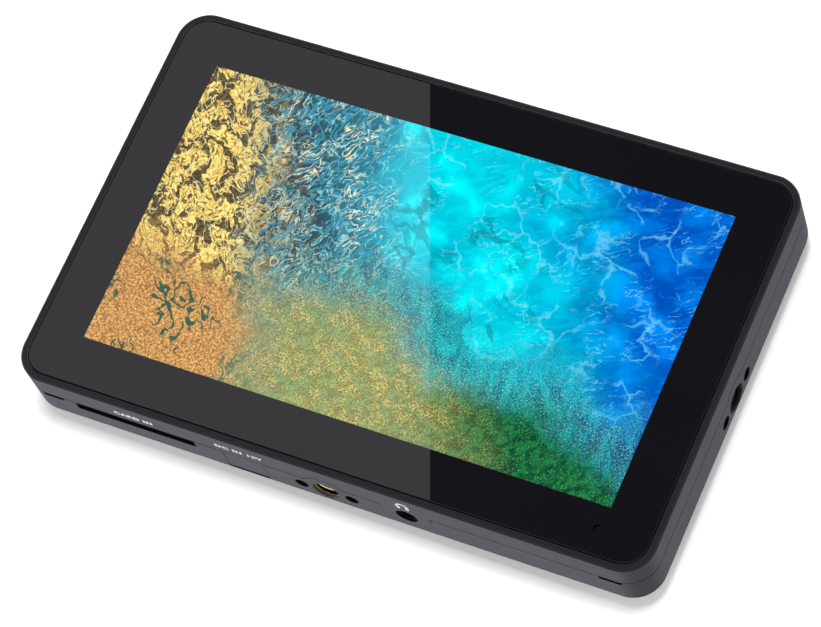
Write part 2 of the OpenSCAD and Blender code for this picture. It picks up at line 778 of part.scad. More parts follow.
module power_button() color([0.16, 0.16, 0.17]) {
    button_shape(0, y_flange - 0.1, y_top + button_proud);
    button_shape(button_flange, y_flange - button_flange_t, y_flange);
    rod_y(button_x, button_z, plunger_r, y_switch + switch_stand,
        y_flange - button_flange_t + 0.1);
}

module power_switch() color(chip_black) difference() {
    union() {
        box(button_x - switch_box.x / 2, button_x + switch_box.x / 2,
            y_switch - switch_box.y, y_switch,
            button_z - switch_box.z / 2, button_z + switch_box.z / 2);
        feet(button_x, switch_box.x, y_switch);
    }
    rod_y(button_x, button_z, plunger_r + fit,
        y_switch + switch_stand - plunger_l - button_travel - fit, y_switch + cut);
}

module switch_plunger() color([0.85, 0.85, 0.83])
    rod_y(button_x, button_z, plunger_r, y_switch + switch_stand - plunger_l,
        y_switch + switch_stand);

// Rear shell ----------------------------------------------------------------------

// The casing's outer shape, from its back up to a given height
module rear_block(z_top) {
    e = back_edge_r;
    slab(body_w, body_h, corner_r, z_back + e, z_top);
    slab(body_w - 2 * e, body_h - 2 * e, corner_r - e, z_back, z_back + e);
    round_the_casing() intersection() {
        translate([e, z_back + e]) circle(e);
        translate([0, z_back]) square(e);
    }
}

// A thread's boss and bores start at the casing's face and go in along +Y
module thread_boss() {
    rod_y(0, 0, boss_r, 0, boss_l);
    for (x = [-1, 1]) rod_y(x * locate_pitch, 0, locate_boss_r, 0, locate_l + 1);
}

module thread_boss_bores() {
    rod_y(0, 0, insert_mouth_r, -cut, insert_skin + cut);
    rod_y(0, 0, insert_r + screw_gap, insert_skin, insert_skin + boss_l);
    for (x = [-1, 1]) rod_y(x * locate_pitch, 0, locate_r, -cut, locate_l);
}

module at_bottom_thread() translate([0, y_bottom, z_mount]) children();

module at_side_thread()
    translate([x_right, side_mount_y, z_side_mount]) rotate([0, 0, 90]) children();

module flap_window() {
    box(-flap_x - flap_w / 2 - flap_gap, -flap_x + flap_w / 2 + flap_gap,
        y_bottom - cut, y_bottom + wall + cut,
        flap_z - flap_knuckle_r - flap_gap, z_split + tongue_h + cut);
    rod_x(flap_y, flap_z, flap_pin_r + screw_gap, -flap_x - flap_w / 2 - flap_pin_out,
        -flap_x + flap_w / 2 + flap_pin_out);
}

module vents() for (s = [-1, 1], i = [0 : vent_n - 1])
    translate([s * (vent_x + i * vent_pitch), vent_y, z_back - cut])
        linear_extrude(back_t + 2 * cut) rotate(90) stadium(vent_l, vent_w);

module rear_shell_solids() {
    difference() {
        rear_block(z_split - split_gap / 2);
        slab(body_w - 2 * wall, body_h - 2 * wall, corner_r - wall,
            z_inside, z_front);
    }
    difference() {
        slab(body_w - wall - 2 * fit, body_h - wall - 2 * fit, corner_r - wall / 2 - fit,
            z_split - 1, z_split + tongue_h);
        slab(body_w - 2 * wall, body_h - 2 * wall, corner_r - wall,
            z_inside, z_front);
    }
    for (p = case_screws_at) rod_z(p.x, p.y, post_r, z_back + 0.5, z_meet);
    intersection() {
        rear_block(z_front);
        union() {
            at_bottom_thread() thread_boss();
            at_side_thread() thread_boss();
        }
    }
}

module rear_shell() color(casing_black) difference() {
    rear_shell_solids();
    for (p = case_screws_at) {
        rod_z(p.x, p.y, case_head_r + 0.3, z_back - cut, z_back + case_floor);
        rod_z(p.x, p.y, screw_r + fit, z_back, z_meet + cut);
    }
    at_bottom_thread() thread_boss_bores();
    at_side_thread() thread_boss_bores();
    flap_window();
    phones_tab(phones_tab_gap, y_bottom - cut, y_bottom + wall + fit);
    box(phones_x + phones_tab_w / 2 - cut, phones_x + phones_tab_w / 2 + split_gap,
        y_bottom - cut, y_bottom + wall / 2, z_split - phones_tick, z_split);
    card_slot_cut();
    for (x = [-1, 1])
        box(x * (x_right - notch_inset) - notch_w / 2, x * (x_right - notch_inset) + notch_w / 2,
            y_bottom - cut, y_bottom + wall + cut, z_split - notch_h, z_split);
    for (s = [-1, 1]) video_socket_shape(s, video_gap, x_left - cut, x_left + wall + cut);
    button_shape(button_gap, y_top - wall - cut, y_top + cut);
    translate([0, plate_up, 0])
        slab(plate_w + 2 * fit, plate_h + 2 * fit, 3 + fit, z_back - cut, z_plate_top);
    for (p = plate_screws_at)
        rod_z(p.x, p.y, screw_r + screw_gap, z_back, z_inside + cut);
    translate([0, latch_y, 0])
        slab(cup_out.x + 2 * fit, cup_out.y + 2 * fit, 1, z_back, z_inside + cut);
    box(-lead_hole.x / 2, lead_hole.x / 2, contact_y - lead_hole.y / 2,
        contact_y + lead_hole.y / 2, z_back, z_inside + cut);
    vents();
}

module case_screws() color(steel) for (p = case_screws_at) difference() {
    union() {
        rod_z(p.x, p.y, case_head_r, z_back + case_floor - case_head_h, z_back + case_floor);
        rod_z(p.x, p.y, screw_r, z_back + case_floor - 0.5, z_meet + case_screw_reach);
    }
    cross_slot(p, z_back + case_floor - case_head_h, case_head_r);
}

// Battery plate -------------------------------------------------------------------

plate_screws_at = [for (x = [-1, 1], y = [-1, 1])
    [x * (plate_w / 2 - plate_screw_inset), plate_up + y * (plate_h / 2 - plate_screw_inset)]];
cup_in = [latch_w + 2 * latch_flange + 0.4, latch_h + 2 * latch_flange + 0.4];
cup_out = [cup_in.x + 2 * cup_wall, cup_in.y + 2 * cup_wall];

module battery_rail(s) {
    x = s * (rail_span / 2 - rail_w / 2);
    box(x - rail_w / 2, x + rail_w / 2, plate_up - rail_l / 2, plate_up + rail_l / 2,
        0, z_plate + 0.2);
    for (y = hook_at)
        box(min(x, s * (rail_span / 2 + hook_w)), max(x, s * (rail_span / 2 + hook_w)),
            plate_up + y, plate_up + y + hook_l, 0, hook_t);
}

module battery_plate() color([0.1, 0.1, 0.11]) difference() {
    union() {
        translate([0, plate_up, 0]) slab(plate_w, plate_h, 3, z_plate, z_plate_top);
        for (s = [-1, 1]) battery_rail(s);
    }
    translate([0, latch_y, 0])
        slab(latch_w + 0.3, latch_h + 0.3, 1, z_plate - cut, z_plate_top + cut);
    for (p = plate_screws_at) {
        rod_z(p.x, p.y, screw_r + fit, z_plate - cut, z_plate_top + cut);
        rod_z(p.x, p.y, plate_head_r + 0.2, z_plate - cut, z_plate + 0.8);
    }
    for (i = [-1 : 1])
        translate([i * blade_pitch, contact_y, z_plate])
            cube([blade.x + 0.2, blade.y + 0.2, 2 * plate_t + cut], center = true);
}

module plate_screws() color(steel) for (p = plate_screws_at) difference() {
    union() {
        rod_z(p.x, p.y, plate_head_r, z_plate + 0.1, z_plate + 0.8);
        rod_z(p.x, p.y, screw_r, z_plate + 0.5, z_inside);
    }
    cross_slot(p, z_plate + 0.1, plate_head_r / 1.5);
}

module contact_block() color(chip_black) difference() {
    box(-contact_w / 2 + 2.5, contact_w / 2 - 2.5, contact_y - contact_l / 2,
        contact_y + contact_l / 2, z_plate - contact_stand, z_plate);
    for (i = [-1 : 1])
        translate([i * blade_pitch, contact_y, z_plate - contact_stand])
            cube([blade.x + 2, contact_l + cut, 3], center = true);
    for (i = [-1 : 1])
        translate([i * blade_pitch, contact_y, z_plate])
            cube([blade.x + 0.1, blade.y + 0.1, 2 * contact_stand], center = true);
}

module battery_contacts() color([0.85, 0.7, 0.35]) for (i = [-1 : 1])
    translate([i * blade_pitch - blade.x / 2, contact_y - blade.y / 2,
        z_plate - contact_stand + 0.6]) cube([blade.x, blade.y, blade.z]);

module battery_latch() color([0.16, 0.16, 0.17]) translate([0, latch_y, 0]) {
    slab(latch_w, latch_h, 0.8, z_plate - latch_stand, z_plate_top + 0.2);
    slab(latch_w + 2 * latch_flange, latch_h + 2 * latch_flange, 0.8,
        z_plate_top + 0.1, z_plate_top + 0.1 + latch_flange_t);
    box(-tooth.x / 2, tooth.x / 2, latch_h / 2 - tooth.y, latch_h / 2,
        z_plate - latch_stand - tooth.z, z_plate - latch_stand + 0.1);
}

module latch_cup() color([0.12, 0.12, 0.13]) translate([0, latch_y, 0]) difference() {
    slab(cup_out.x, cup_out.y, 1, z_plate_top, z_plate_top + cup_h);
    slab(cup_in.x, cup_in.y, 0.8, z_plate_top - cut, z_plate_top + cup_h - cup_wall / 2);
}

module latch_spring() color(steel) {
    z0 = z_plate_top + 0.1 + latch_flange_t + spring_wire;
    z1 = z_plate_top + cup_h - cup_wall / 2 - spring_wire;
    steps = 14;
    total = spring_turns * steps;
    tube([for (i = [0 : total]) let (a = 360 * i / steps)
        [spring_r * cos(a), latch_y + spring_r * sin(a), z0 + (z1 - z0) * i / total]],
        spring_wire, 6);
}

module battery_leads() color([0.7, 0.08, 0.06]) for (s = [-1, 1]) {
    z = z_plate - contact_stand + 0.6 + blade.z + lead_r;
    y = contact_y + s * lead_apart;
    tube([[s * blade_pitch, y, z], [s * blade_pitch + lead_start, y, z],
        [(s * blade_pitch + socket_x) / 2, y, z],
        [socket_x - lead_socket_size.x / 2, y, z]], lead_r);
}

module lead_socket() color([0.9, 0.88, 0.8])
    on_board_back([socket_x, contact_y], lead_socket_size);

// Tripod threads ------------------------------------------------------------------

// A brass insert with a groove round its middle
module thread_insert() translate([0, insert_skin, 0]) difference() {
    union() {
        rod_y(0, 0, insert_r, 0, insert_l * 0.35);
        rod_y(0, 0, insert_r - 0.4, 0, insert_l);
        rod_y(0, 0, insert_r, insert_l * 0.6, insert_l);
    }
    rod_y(0, 0, insert_bore_r, -cut, insert_l + cut);
}

module bottom_thread_insert() color(brass) at_bottom_thread() thread_insert();

module side_thread_insert() color(brass) at_side_thread() thread_insert();

// Power flap ----------------------------------------------------------------------

module dc_flap() color(casing_black) difference() {
    translate([-flap_x - flap_w / 2, flap_y, flap_z]) rotate([90, 0, 90])
        linear_extrude(flap_w) {
            circle(flap_knuckle_r);
            translate([-flap_knuckle_r, 0]) square([flap_t, flap_top - flap_z]);
        }
    rod_x(flap_y, flap_z, flap_pin_r + 0.05, -flap_x - flap_w / 2 - cut,
        -flap_x + flap_w / 2 + cut);
}

module flap_pin() color(steel)
    rod_x(flap_y, flap_z, flap_pin_r, -flap_x - flap_w / 2 - flap_pin_out + fit,
        -flap_x + flap_w / 2 + flap_pin_out - fit);

// ---------------------------------------------------------------------------------

front_frame();
cover_glass();
glass_glue();
touch_sensor();
display_cell();
diffuser_films();
light_guide();
backlight_strip();
display_tray();
display_tape();
chassis_plate();
chassis_screws();
main_board();
board_screws();
video_processor();
memory_chips();
power_coils();
filter_capacitors();
thermal_pad();
heat_spreader();
card_socket();
dc_jack();
dc_jack_pin();
headphone_jack();
video_in_socket();
video_out_socket();
video_tongues();
flex_sockets();
display_flex();
touch_flex();
indicator_led();
light_pipe();
power_switch();
switch_plunger();
power_button();
rear_shell();
case_screws();
battery_plate();
plate_screws();
battery_contacts();
contact_block();
battery_latch();
latch_cup();
latch_spring();
battery_leads();
lead_socket();
bottom_thread_insert();
side_thread_insert();
dc_flap();
flap_pin();
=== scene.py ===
# %% [markdown]
# # A camera field monitor
# A field monitor is a flat screen that rides on top of a camera. It has a glass front, a casing
# made of two moulded shells, ports along its walls and a plate on its back that holds a battery.
# The solid model holds every piece at its real size, and this lesson dresses those pieces: it
# rounds their edges, adds what is too fine for the solid model, and gives each one its finish.

import math

import bmesh
import bpy
from mathutils import Matrix, Vector


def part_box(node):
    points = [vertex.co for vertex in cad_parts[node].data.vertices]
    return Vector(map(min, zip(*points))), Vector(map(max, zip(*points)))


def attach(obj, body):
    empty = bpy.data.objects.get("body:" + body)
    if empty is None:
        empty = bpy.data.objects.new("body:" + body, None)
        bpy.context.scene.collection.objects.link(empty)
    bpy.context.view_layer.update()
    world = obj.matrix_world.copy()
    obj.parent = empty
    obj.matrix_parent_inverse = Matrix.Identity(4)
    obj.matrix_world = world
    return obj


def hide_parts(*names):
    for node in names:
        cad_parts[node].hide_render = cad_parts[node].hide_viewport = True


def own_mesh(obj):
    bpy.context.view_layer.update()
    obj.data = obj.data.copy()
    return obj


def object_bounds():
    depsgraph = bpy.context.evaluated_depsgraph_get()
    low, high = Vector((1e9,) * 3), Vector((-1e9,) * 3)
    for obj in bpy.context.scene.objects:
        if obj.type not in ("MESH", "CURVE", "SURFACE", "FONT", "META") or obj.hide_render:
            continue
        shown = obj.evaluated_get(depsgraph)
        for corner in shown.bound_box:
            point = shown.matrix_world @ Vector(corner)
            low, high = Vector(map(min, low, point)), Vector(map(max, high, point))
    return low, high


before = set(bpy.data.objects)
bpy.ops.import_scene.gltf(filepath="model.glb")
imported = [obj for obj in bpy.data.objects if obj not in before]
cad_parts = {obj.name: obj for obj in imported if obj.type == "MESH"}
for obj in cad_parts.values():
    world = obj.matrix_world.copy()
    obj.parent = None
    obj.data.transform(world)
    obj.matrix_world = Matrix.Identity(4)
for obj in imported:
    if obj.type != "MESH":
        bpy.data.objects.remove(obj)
cad_box = [list(corner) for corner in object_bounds()]
print("solid model's box in millimetres:", [[round(1000 * v, 2) for v in c] for c in cad_box])

# %% [markdown]
# ## Small tools
# Sizes read best in millimetres, and Blender works in metres, so one constant turns one into
# the other. The helpers here make objects from meshes and find the boxes of nodes, also of each
# separate solid in a node that holds several, such as a set of screws.

# %% Millimetres, objects and boxes
MM = 0.001


def add_object(name, mesh):
    piece = bpy.data.objects.new(name, mesh)
    bpy.context.scene.collection.objects.link(piece)
    return piece


def add_mesh(name, bm):
    """A new object from a bmesh, with its faces turned outwards."""
    bmesh.ops.remove_doubles(bm, verts=bm.verts, dist=1e-7)
    bmesh.ops.recalc_face_normals(bm, faces=bm.faces)
    mesh = bpy.data.meshes.new(name)
    bm.to_mesh(mesh)
    bm.free()
    return add_object(name, mesh)


def middle_of(node):
    low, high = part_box(node)
    return (low + high) / 2


def separate_boxes(node):
    """The lowest and highest corner of each separate solid in a node."""
    bm = bmesh.new()
    bm.from_mesh(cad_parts[node].data)
    bmesh.ops.remove_doubles(bm, verts=bm.verts, dist=1e-6)
    left, boxes = set(bm.verts), []
    while left:
        grown, edge = set(), [left.pop()]
        while edge:
            vert = edge.pop()
            grown.add(vert)
            near = {e.other_vert(vert) for e in vert.link_edges} & left
            left -= near
            edge.extend(near)
        places = [v.co.copy() for v in grown]
        boxes.append(tuple(Vector(f(p[i] for p in places) for i in range(3)) for f in (min, max)))
    bm.free()
    return sorted(boxes, key=lambda b: tuple(b[0]))


print("separate case screws found:", len(separate_boxes("case_screws")))

# %% [markdown]
# A finished piece needs three things: its material, the body it moves with, and the solid nodes that it
# stands for.

# %% Finish a piece
def finish(piece, body, material, replaced=(), smooth=True):
    piece.data.materials.clear()
    piece.data.materials.append(material)
    for face in piece.data.polygons:
        face.use_smooth = smooth
    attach(piece, body)
    if replaced:
        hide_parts(*replaced)
    return piece


# %% [markdown]
# A moulded shell has no truly sharp edge. The solid model's edges are sharp, so a shell is made
# from a copy of its node: the copy's doubled points are merged, the triangles of each flat face
# are joined again, and a Bevel modifier rounds every edge that turns by more than 30 degrees.
# Weighted Normal then keeps the large faces flat in the light, so only the rounding shines.

# %% A copy of a node with rounded edges
ROUNDED_ANGLE = math.radians(30)
FLAT_ANGLE = math.radians(0.6)


def rounded_copy(node, name, radius, segments=3):
    bm = bmesh.new()
    bm.from_mesh(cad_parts[node].data)
    bmesh.ops.remove_doubles(bm, verts=bm.verts, dist=1e-6)
    bmesh.ops.dissolve_limit(bm, angle_limit=FLAT_ANGLE, verts=bm.verts, edges=bm.edges)
    piece = add_mesh(name, bm)
    bevel = piece.modifiers.new("rounded edges", "BEVEL")
    bevel.width = radius
    bevel.segments = segments
    bevel.limit_method = "ANGLE"
    bevel.angle_limit = ROUNDED_ANGLE
    bevel.miter_outer = "MITER_ARC"
    weighted = piece.modifiers.new("flat faces", "WEIGHTED_NORMAL")
    weighted.keep_sharp = False
    return piece


# %% [markdown]
# ## The camera
# The photograph looks down on the monitor from its lower right corner. With the screen's real
# size known, its four corners in the picture give the camera: how far it stands off, how high,
# and how much it is rolled. Nothing is shifted, so other views can use the same camera.

# %% Set the camera
PHOTO_W = 821
PHOTO_H = 627
FOCAL_PIXELS = 3624.3
SENSOR_W = 36
CAMERA_TARGET = Vector((0.477, -3.271, 10)) * MM
CAMERA_DISTANCE = 759.24 * MM
CAMERA_AZIMUTH = math.radians(46.318)
CAMERA_ELEVATION = math.radians(61.552)
CAMERA_ROLL = math.radians(-25.381)


def camera_axes():
    """The camera's right, up and backward directions."""
    flat = Vector((math.sin(CAMERA_AZIMUTH), -math.cos(CAMERA_AZIMUTH), 0))
    back = flat * math.cos(CAMERA_ELEVATION) + Vector((0, 0, math.sin(CAMERA_ELEVATION)))
    level = Vector((math.cos(CAMERA_AZIMUTH), math.sin(CAMERA_AZIMUTH), 0))
    above = back.cross(level)
    right = level * math.cos(CAMERA_ROLL) + above * math.sin(CAMERA_ROLL)
    return right, back.cross(right), back


right, up, back = camera_axes()
camera_place = CAMERA_TARGET + back * CAMERA_DISTANCE
camera_data = bpy.data.cameras.new("camera")
camera_data.sensor_width = SENSOR_W
camera_data.lens = FOCAL_PIXELS * SENSOR_W / PHOTO_W
camera_data.clip_start = 0.01
camera_data.clip_end = 50
camera = add_object("camera", camera_data)
camera.matrix_world = Matrix.Translation(camera_place) @ Matrix((right, up, back)).transposed().to_4x4()
bpy.context.scene.camera = camera
print("camera at", [round(v / MM, 1) for v in camera_place], "mm, lens", round(camera_data.lens, 1))

# %% [markdown]
# ## Building node graphs
# Every finish here is a graph of nodes. A few short calls keep the graphs readable: one fills a
# node's inputs by name, one adds a node, and the others add the kinds that come up most often.

# %% Calls that add nodes
def fill(tree, socket, value):
    if isinstance(value, bpy.types.NodeSocket):
        tree.links.new(value, socket)
    elif value is not None:
        socket.default_value = value


def fill_named(tree, node, **inputs):
    """Fills inputs by name. A name is written with _ for a space."""
    for key, value in inputs.items():
        fill(tree, node.inputs[key.replace("_", " ")], value)


def add_node(tree, kind, settings=None, **inputs):
    node = tree.nodes.new(kind)
    for key, value in (settings or {}).items():
        setattr(node, key, value)
    fill_named(tree, node, **inputs)
    return node


def object_place(tree):
    return tree.nodes.new("ShaderNodeTexCoord").outputs["Object"]


def calc(tree, operation, a, b=None, kind="ShaderNodeMath", **inputs):
    node = add_node(tree, kind, {"operation": operation}, **inputs)
    fill(tree, node.inputs[0], a)
    fill(tree, node.inputs[1], b)
    return node.outputs[0]


def calc_vector(tree, operation, a, b=None, **inputs):
    return calc(tree, operation, a, b, "ShaderNodeVectorMath", **inputs)


def times(tree, *values):
    out = values[0]
    for value in values[1:]:
        out = calc(tree, "MULTIPLY", out, value)
    return out


def step(tree, value, low, high):
    """0 below low, 1 above high, and a smooth rise between them."""
    return add_node(tree, "ShaderNodeMapRange", {"interpolation_type": "SMOOTHSTEP"},
                    Value=value, From_Min=low, From_Max=high).outputs["Result"]


def mix(tree, share, first, second):
    """The first colour, covered by the second where the share is 1."""
    node = add_node(tree, "ShaderNodeMix", {"data_type": "RGBA"}, Factor=share)
    fill(tree, node.inputs[6], first)
    fill(tree, node.inputs[7], second)
    return node.outputs[2]


def noise(tree, vector, size, detail=2.0, rough=0.5, flat=False):
    """Noise whose features are about size millimetres wide. Flat noise is quicker to work out."""
    return add_node(tree, "ShaderNodeTexNoise", {"noise_dimensions": "2D" if flat else "3D"},
                    Vector=vector, Scale=1 / (size * MM), Detail=detail, Roughness=rough)


def rgb(r, g, b):
    return (r, g, b, 1.0)


# %% [markdown]
# ## Effects that several materials share
# An effect that more than one material uses is a node group, built once. Moulded plastic has a
# fine spark-eroded grain that scatters its highlights. The group gives a height for the bump, a
# roughness that wanders a little, and a colour that is never quite even.

# %% The moulded grain
FINE_GRAIN = 0.16        # grains and stains in millimetres
BROAD_GRAIN = 9


def new_group(name, own_input):
    """A group that takes and gives a colour and a roughness, and gives a height as well."""
    group = bpy.data.node_groups.new(name, "ShaderNodeTree")
    colour, roughness = ("Color", "NodeSocketColor"), ("Roughness", "NodeSocketFloat")
    for label, kind, value in ((*colour, rgb(0.5, 0.5, 0.5)), (*roughness, 0.5), own_input):
        socket = group.interface.new_socket(label, in_out="INPUT", socket_type=kind)
        socket.default_value = value
    for label, kind in (colour, roughness, ("Height", "NodeSocketFloat")):
        group.interface.new_socket(label, in_out="OUTPUT", socket_type=kind)
    return group, group.nodes.new("NodeGroupInput").outputs, group.nodes.new("NodeGroupOutput")


def make_grain_group():
    group, start, end = new_group("moulded_grain", ("Unevenness", "NodeSocketFloat", 0.08))
    place = object_place(group)
    fine = noise(group, place, FINE_GRAIN, detail=3, rough=0.6).outputs[0]
    broad = noise(group, place, BROAD_GRAIN, detail=3).outputs[0]
    swing = times(group, calc(group, "SUBTRACT", broad, 0.5), start["Unevenness"])
    brightness = calc(group, "ADD", 1.0, times(group, swing, 2.0))
    speckle = calc(group, "ADD", 0.9, times(group, fine, 0.2))
    tinted = calc_vector(group, "SCALE", start["Color"], Scale=times(group, brightness, speckle))
    rougher = calc(group, "ADD", start["Roughness"], swing)
    fill_named(group, end, Color=tinted, Roughness=rougher, Height=fine)
    return group


grain_group = make_grain_group()

# %% [markdown]
# Cut or drawn metal carries fine lines in one direction. Stretched noise makes them: it changes
# fast across the lines and slowly along them.

# %% The drawn lines
DRAWN_LINE = 0.12        # lines and stains in millimetres
METAL_STAIN = 3


def make_lines_group():
    group, start, end = new_group("drawn_lines", ("Stretch", "NodeSocketVector", (1.0, 0.05, 1.0)))
    place = object_place(group)
    stretched = calc_vector(group, "MULTIPLY", place, start["Stretch"])
    lines = noise(group, stretched, DRAWN_LINE, detail=4, rough=0.65).outputs[0]
    stain = noise(group, place, METAL_STAIN, detail=2).outputs[0]
    tone = calc(group, "ADD", 0.82, times(group, lines, 0.36))
    wander = times(group, calc(group, "SUBTRACT", calc(group, "ADD", lines, stain), 1.0), 0.25)
    fill_named(group, end, Color=calc_vector(group, "SCALE", start["Color"], Scale=tone),
               Roughness=calc(group, "ADD", start["Roughness"], wander), Height=lines)
    return group


lines_group = make_lines_group()

# %% [markdown]
# ## Materials
# Each material below names one real finish. The settings that are the same all over a surface
# stand on the shader's own sockets, and only what varies comes out of a group. The casing's
# walls are quite matt: with a gloss they would mirror the white surroundings and turn pale.

# %% A plain material from a group
BUMP_HEIGHT = 0.02 * MM


def new_material(name):
    material = bpy.data.materials.new(name)
    material.use_nodes = True
    return material, material.node_tree, material.node_tree.nodes["Principled BSDF"]


def grouped_material(name, group, colour, roughness, bump, own=None, **shader):
    """A Principled shader whose colour, roughness and bump come from a group."""
    material, tree, principled = new_material(name)
    effect = add_node(tree, "ShaderNodeGroup", {"node_tree": group}, Color=rgb(*colour),
                      Roughness=roughness, **(own or {}))
    raised = add_node(tree, "ShaderNodeBump", Strength=bump, Distance=BUMP_HEIGHT,
                      Height=effect.outputs["Height"])
    fill_named(tree, principled, Base_Color=effect.outputs["Color"],
               Roughness=effect.outputs["Roughness"], Normal=raised.outputs["Normal"], **shader)
    material.diffuse_color = rgb(*colour)
    return material


def plastic(name, colour, roughness=0.5, bump=0.35, **shader):
    return grouped_material(name, grain_group, colour, roughness, bump, **shader)


def metal(name, colour, roughness=0.3, stretch=(1.0, 0.05, 1.0)):
    return grouped_material(name, lines_group, colour, roughness, 0.2, {"Stretch": stretch}, Metallic=1.0)


# %% The casing's finishes and the small parts' finishes
EVEN_LINES = (1.0, 1.0, 1.0)
wall_finish = plastic("casing_wall", (0.124, 0.121, 0.138), 0.55, 0.5, Specular_IOR_Level=0.0)
# painted shade: the rim's top face is the walls' plastic, drawn darker for the dim light from above
rim_painted_shade = plastic("casing_rim_painted_shade", (0.0115, 0.0113, 0.0137), 0.5, 0.4, Specular_IOR_Level=0.2)
# painted shade: a dead black for the insides of slots, holes, the seam, the jack and the bores
recess_painted_shade = plastic("recess_painted_shade", (0.004, 0.004, 0.0045), 0.8, 0.2, Specular_IOR_Level=0.1)
dark_plastic = plastic("dark_plastic", (0.03, 0.03, 0.033), 0.5)
socket_black = plastic("socket_black", (0.012, 0.012, 0.013), 0.4, 0.2)
control_grey = plastic("control_grey", (0.075, 0.075, 0.08), 0.42, 0.3)
white_plastic = plastic("white_plastic", (0.78, 0.77, 0.72), 0.45, 0.2)
chip_black = plastic("chip_black", (0.02, 0.02, 0.022), 0.6, 0.6)
pad_blue = plastic("pad_blue", (0.30, 0.36, 0.52), 0.75, 0.5)
amber_film = plastic("amber_film", (0.55, 0.26, 0.05), 0.3, 0.1)
red_sleeve = plastic("red_sleeve", (0.55, 0.03, 0.02), 0.4, 0.1)
white_ink = plastic("white_ink", (0.82, 0.82, 0.84), 0.55, 0.1)
sheet_steel = metal("sheet_steel", (0.62, 0.62, 0.64), 0.28)
plate_alloy = metal("plate_alloy", (0.66, 0.67, 0.69), 0.38)
dark_alloy = metal("dark_alloy", (0.05, 0.05, 0.055), 0.45)
tinned_steel = metal("tinned_steel", (0.76, 0.76, 0.74), 0.24)
screw_black = metal("screw_black", (0.09, 0.09, 0.10), 0.34, stretch=(1.0, 1.0, 0.1))
turned_brass = metal("turned_brass", (0.90, 0.70, 0.30), 0.22, stretch=EVEN_LINES)
# painted shade: the side insert's brass, drawn dark because it lies in the shade of its hole
brass_painted_shade = metal("brass_painted_shade", (0.035, 0.028, 0.016), 0.5, stretch=EVEN_LINES)
plated_gold = metal("plated_gold", (0.92, 0.70, 0.32), 0.2, stretch=(1.0, 0.1, 1.0))
print("materials so far:", len(bpy.data.materials))

# %% [markdown]
# The circuit board is green lacquer over copper: tracks run square to each other and show as
# slightly lighter, raised lines. A Brick texture's mortar lines, kept in patches, give a good
# likeness for a board that is only glimpsed through the vents.

# %% The board's finish
TRACK_FIELD = 7 * MM
COPPER_HEIGHT = 0.03 * MM


def make_board_material():
    material, tree, principled = new_material("board_lacquer")
    place = object_place(tree)
    tracks = add_node(tree, "ShaderNodeTexBrick", {"offset": 0.37}, Vector=place, Scale=1 / TRACK_FIELD,
                      Mortar_Size=0.045, Brick_Width=0.9, Row_Height=0.22)
    fields = step(tree, noise(tree, place, 8, detail=1).outputs[0], 0.42, 0.46)
    copper = times(tree, tracks.outputs["Fac"], fields)
    raised = add_node(tree, "ShaderNodeBump", Strength=0.5, Distance=COPPER_HEIGHT, Height=copper)
    fill_named(tree, principled, Roughness=0.3, Normal=raised.outputs["Normal"],
               Base_Color=mix(tree, copper, rgb(0.008, 0.075, 0.035), rgb(0.03, 0.20, 0.08)))
    return material


board_lacquer = make_board_material()

# %% [markdown]
# Clear parts bend light, so their shader is all transmission. The grain of a moulded clear part
# is almost nil: only its roughness changes a little.

# %% A clear finish
def make_clear_moulding():
    material, tree, principled = new_material("clear_moulding")
    haze = noise(tree, object_place(tree), 6, detail=2).outputs[0]
    fill_named(tree, principled, Base_Color=rgb(0.95, 0.97, 1.0), Roughness=times(tree, haze, 0.2),
               Transmission_Weight=1.0, IOR=1.49)
    return material


clear_moulding = make_clear_moulding()

# %% [markdown]
# ## The lit picture
# The screen shows a view into rippled water: gold where the low sun strikes, teal in the
# shade, bright cyan and blue to the right, and green over sand below. It is all worked out
# from noise: no picture is read. Water bends what lies under it into closed bands, and the
# sine of a noise gives the same bands, packed where the noise is steep. First a few helpers
# push a place about, draw patches, bands and cells, and lay colours over each other through
# masks. Then each kind of water is mixed on its own, and last of all the kinds are laid side by
# side. Sizes are in millimetres, and the last numbers are a noise's detail and roughness.

# %% Bent places, patches, bands and layers
def pushed(tree, place, size, reach, detail=2.0):
    """The same place, pushed about by up to reach millimetres."""
    drift = noise(tree, place, size, detail, flat=True).outputs["Color"]
    push = calc_vector(tree, "SUBTRACT", drift, (0.5, 0.5, 0.5))
    return calc_vector(tree, "ADD", place, calc_vector(tree, "SCALE", push, Scale=2 * reach * MM))


def drawn_out(tree, place, turn, stretch):
    """The place turned, then squeezed, so that a noise on it runs in one direction."""
    return add_node(tree, "ShaderNodeMapping", {"vector_type": "TEXTURE"}, Vector=place,
                    Rotation=(0, 0, math.radians(turn)), Scale=(1, stretch, 1)).outputs[0]


def patches(tree, place, size, low, high, detail=2.0, rough=0.5):
    """Flat noise, sharpened between two levels."""
    return step(tree, noise(tree, place, size, detail, rough, flat=True).outputs[0], low, high)


def bands(tree, place, size, count, low, high, detail=1.5, rough=0.5):
    """Closed bands, as ripples make, sharpened too. There are more of them the larger the count."""
    height = noise(tree, place, size, detail, rough, flat=True).outputs[0]
    return step(tree, calc(tree, "SINE", times(tree, height, 2 * math.pi * count)), low, high)


def cells(tree, place, size, feature, low, high):
    """Flat Voronoi cells, sharpened too."""
    node = add_node(tree, "ShaderNodeTexVoronoi", {"feature": feature, "voronoi_dimensions": "2D"},
                    Vector=place, Scale=1 / (size * MM))
    return step(tree, node.outputs["Distance"], low, high)


def coats(tree, ground, *layers):
    """Lays colours over a ground. A layer is a colour and the masks and shares that thin it."""
    for colour, *masks in layers:
        ground = mix(tree, times(tree, *masks), ground, colour)
    return ground


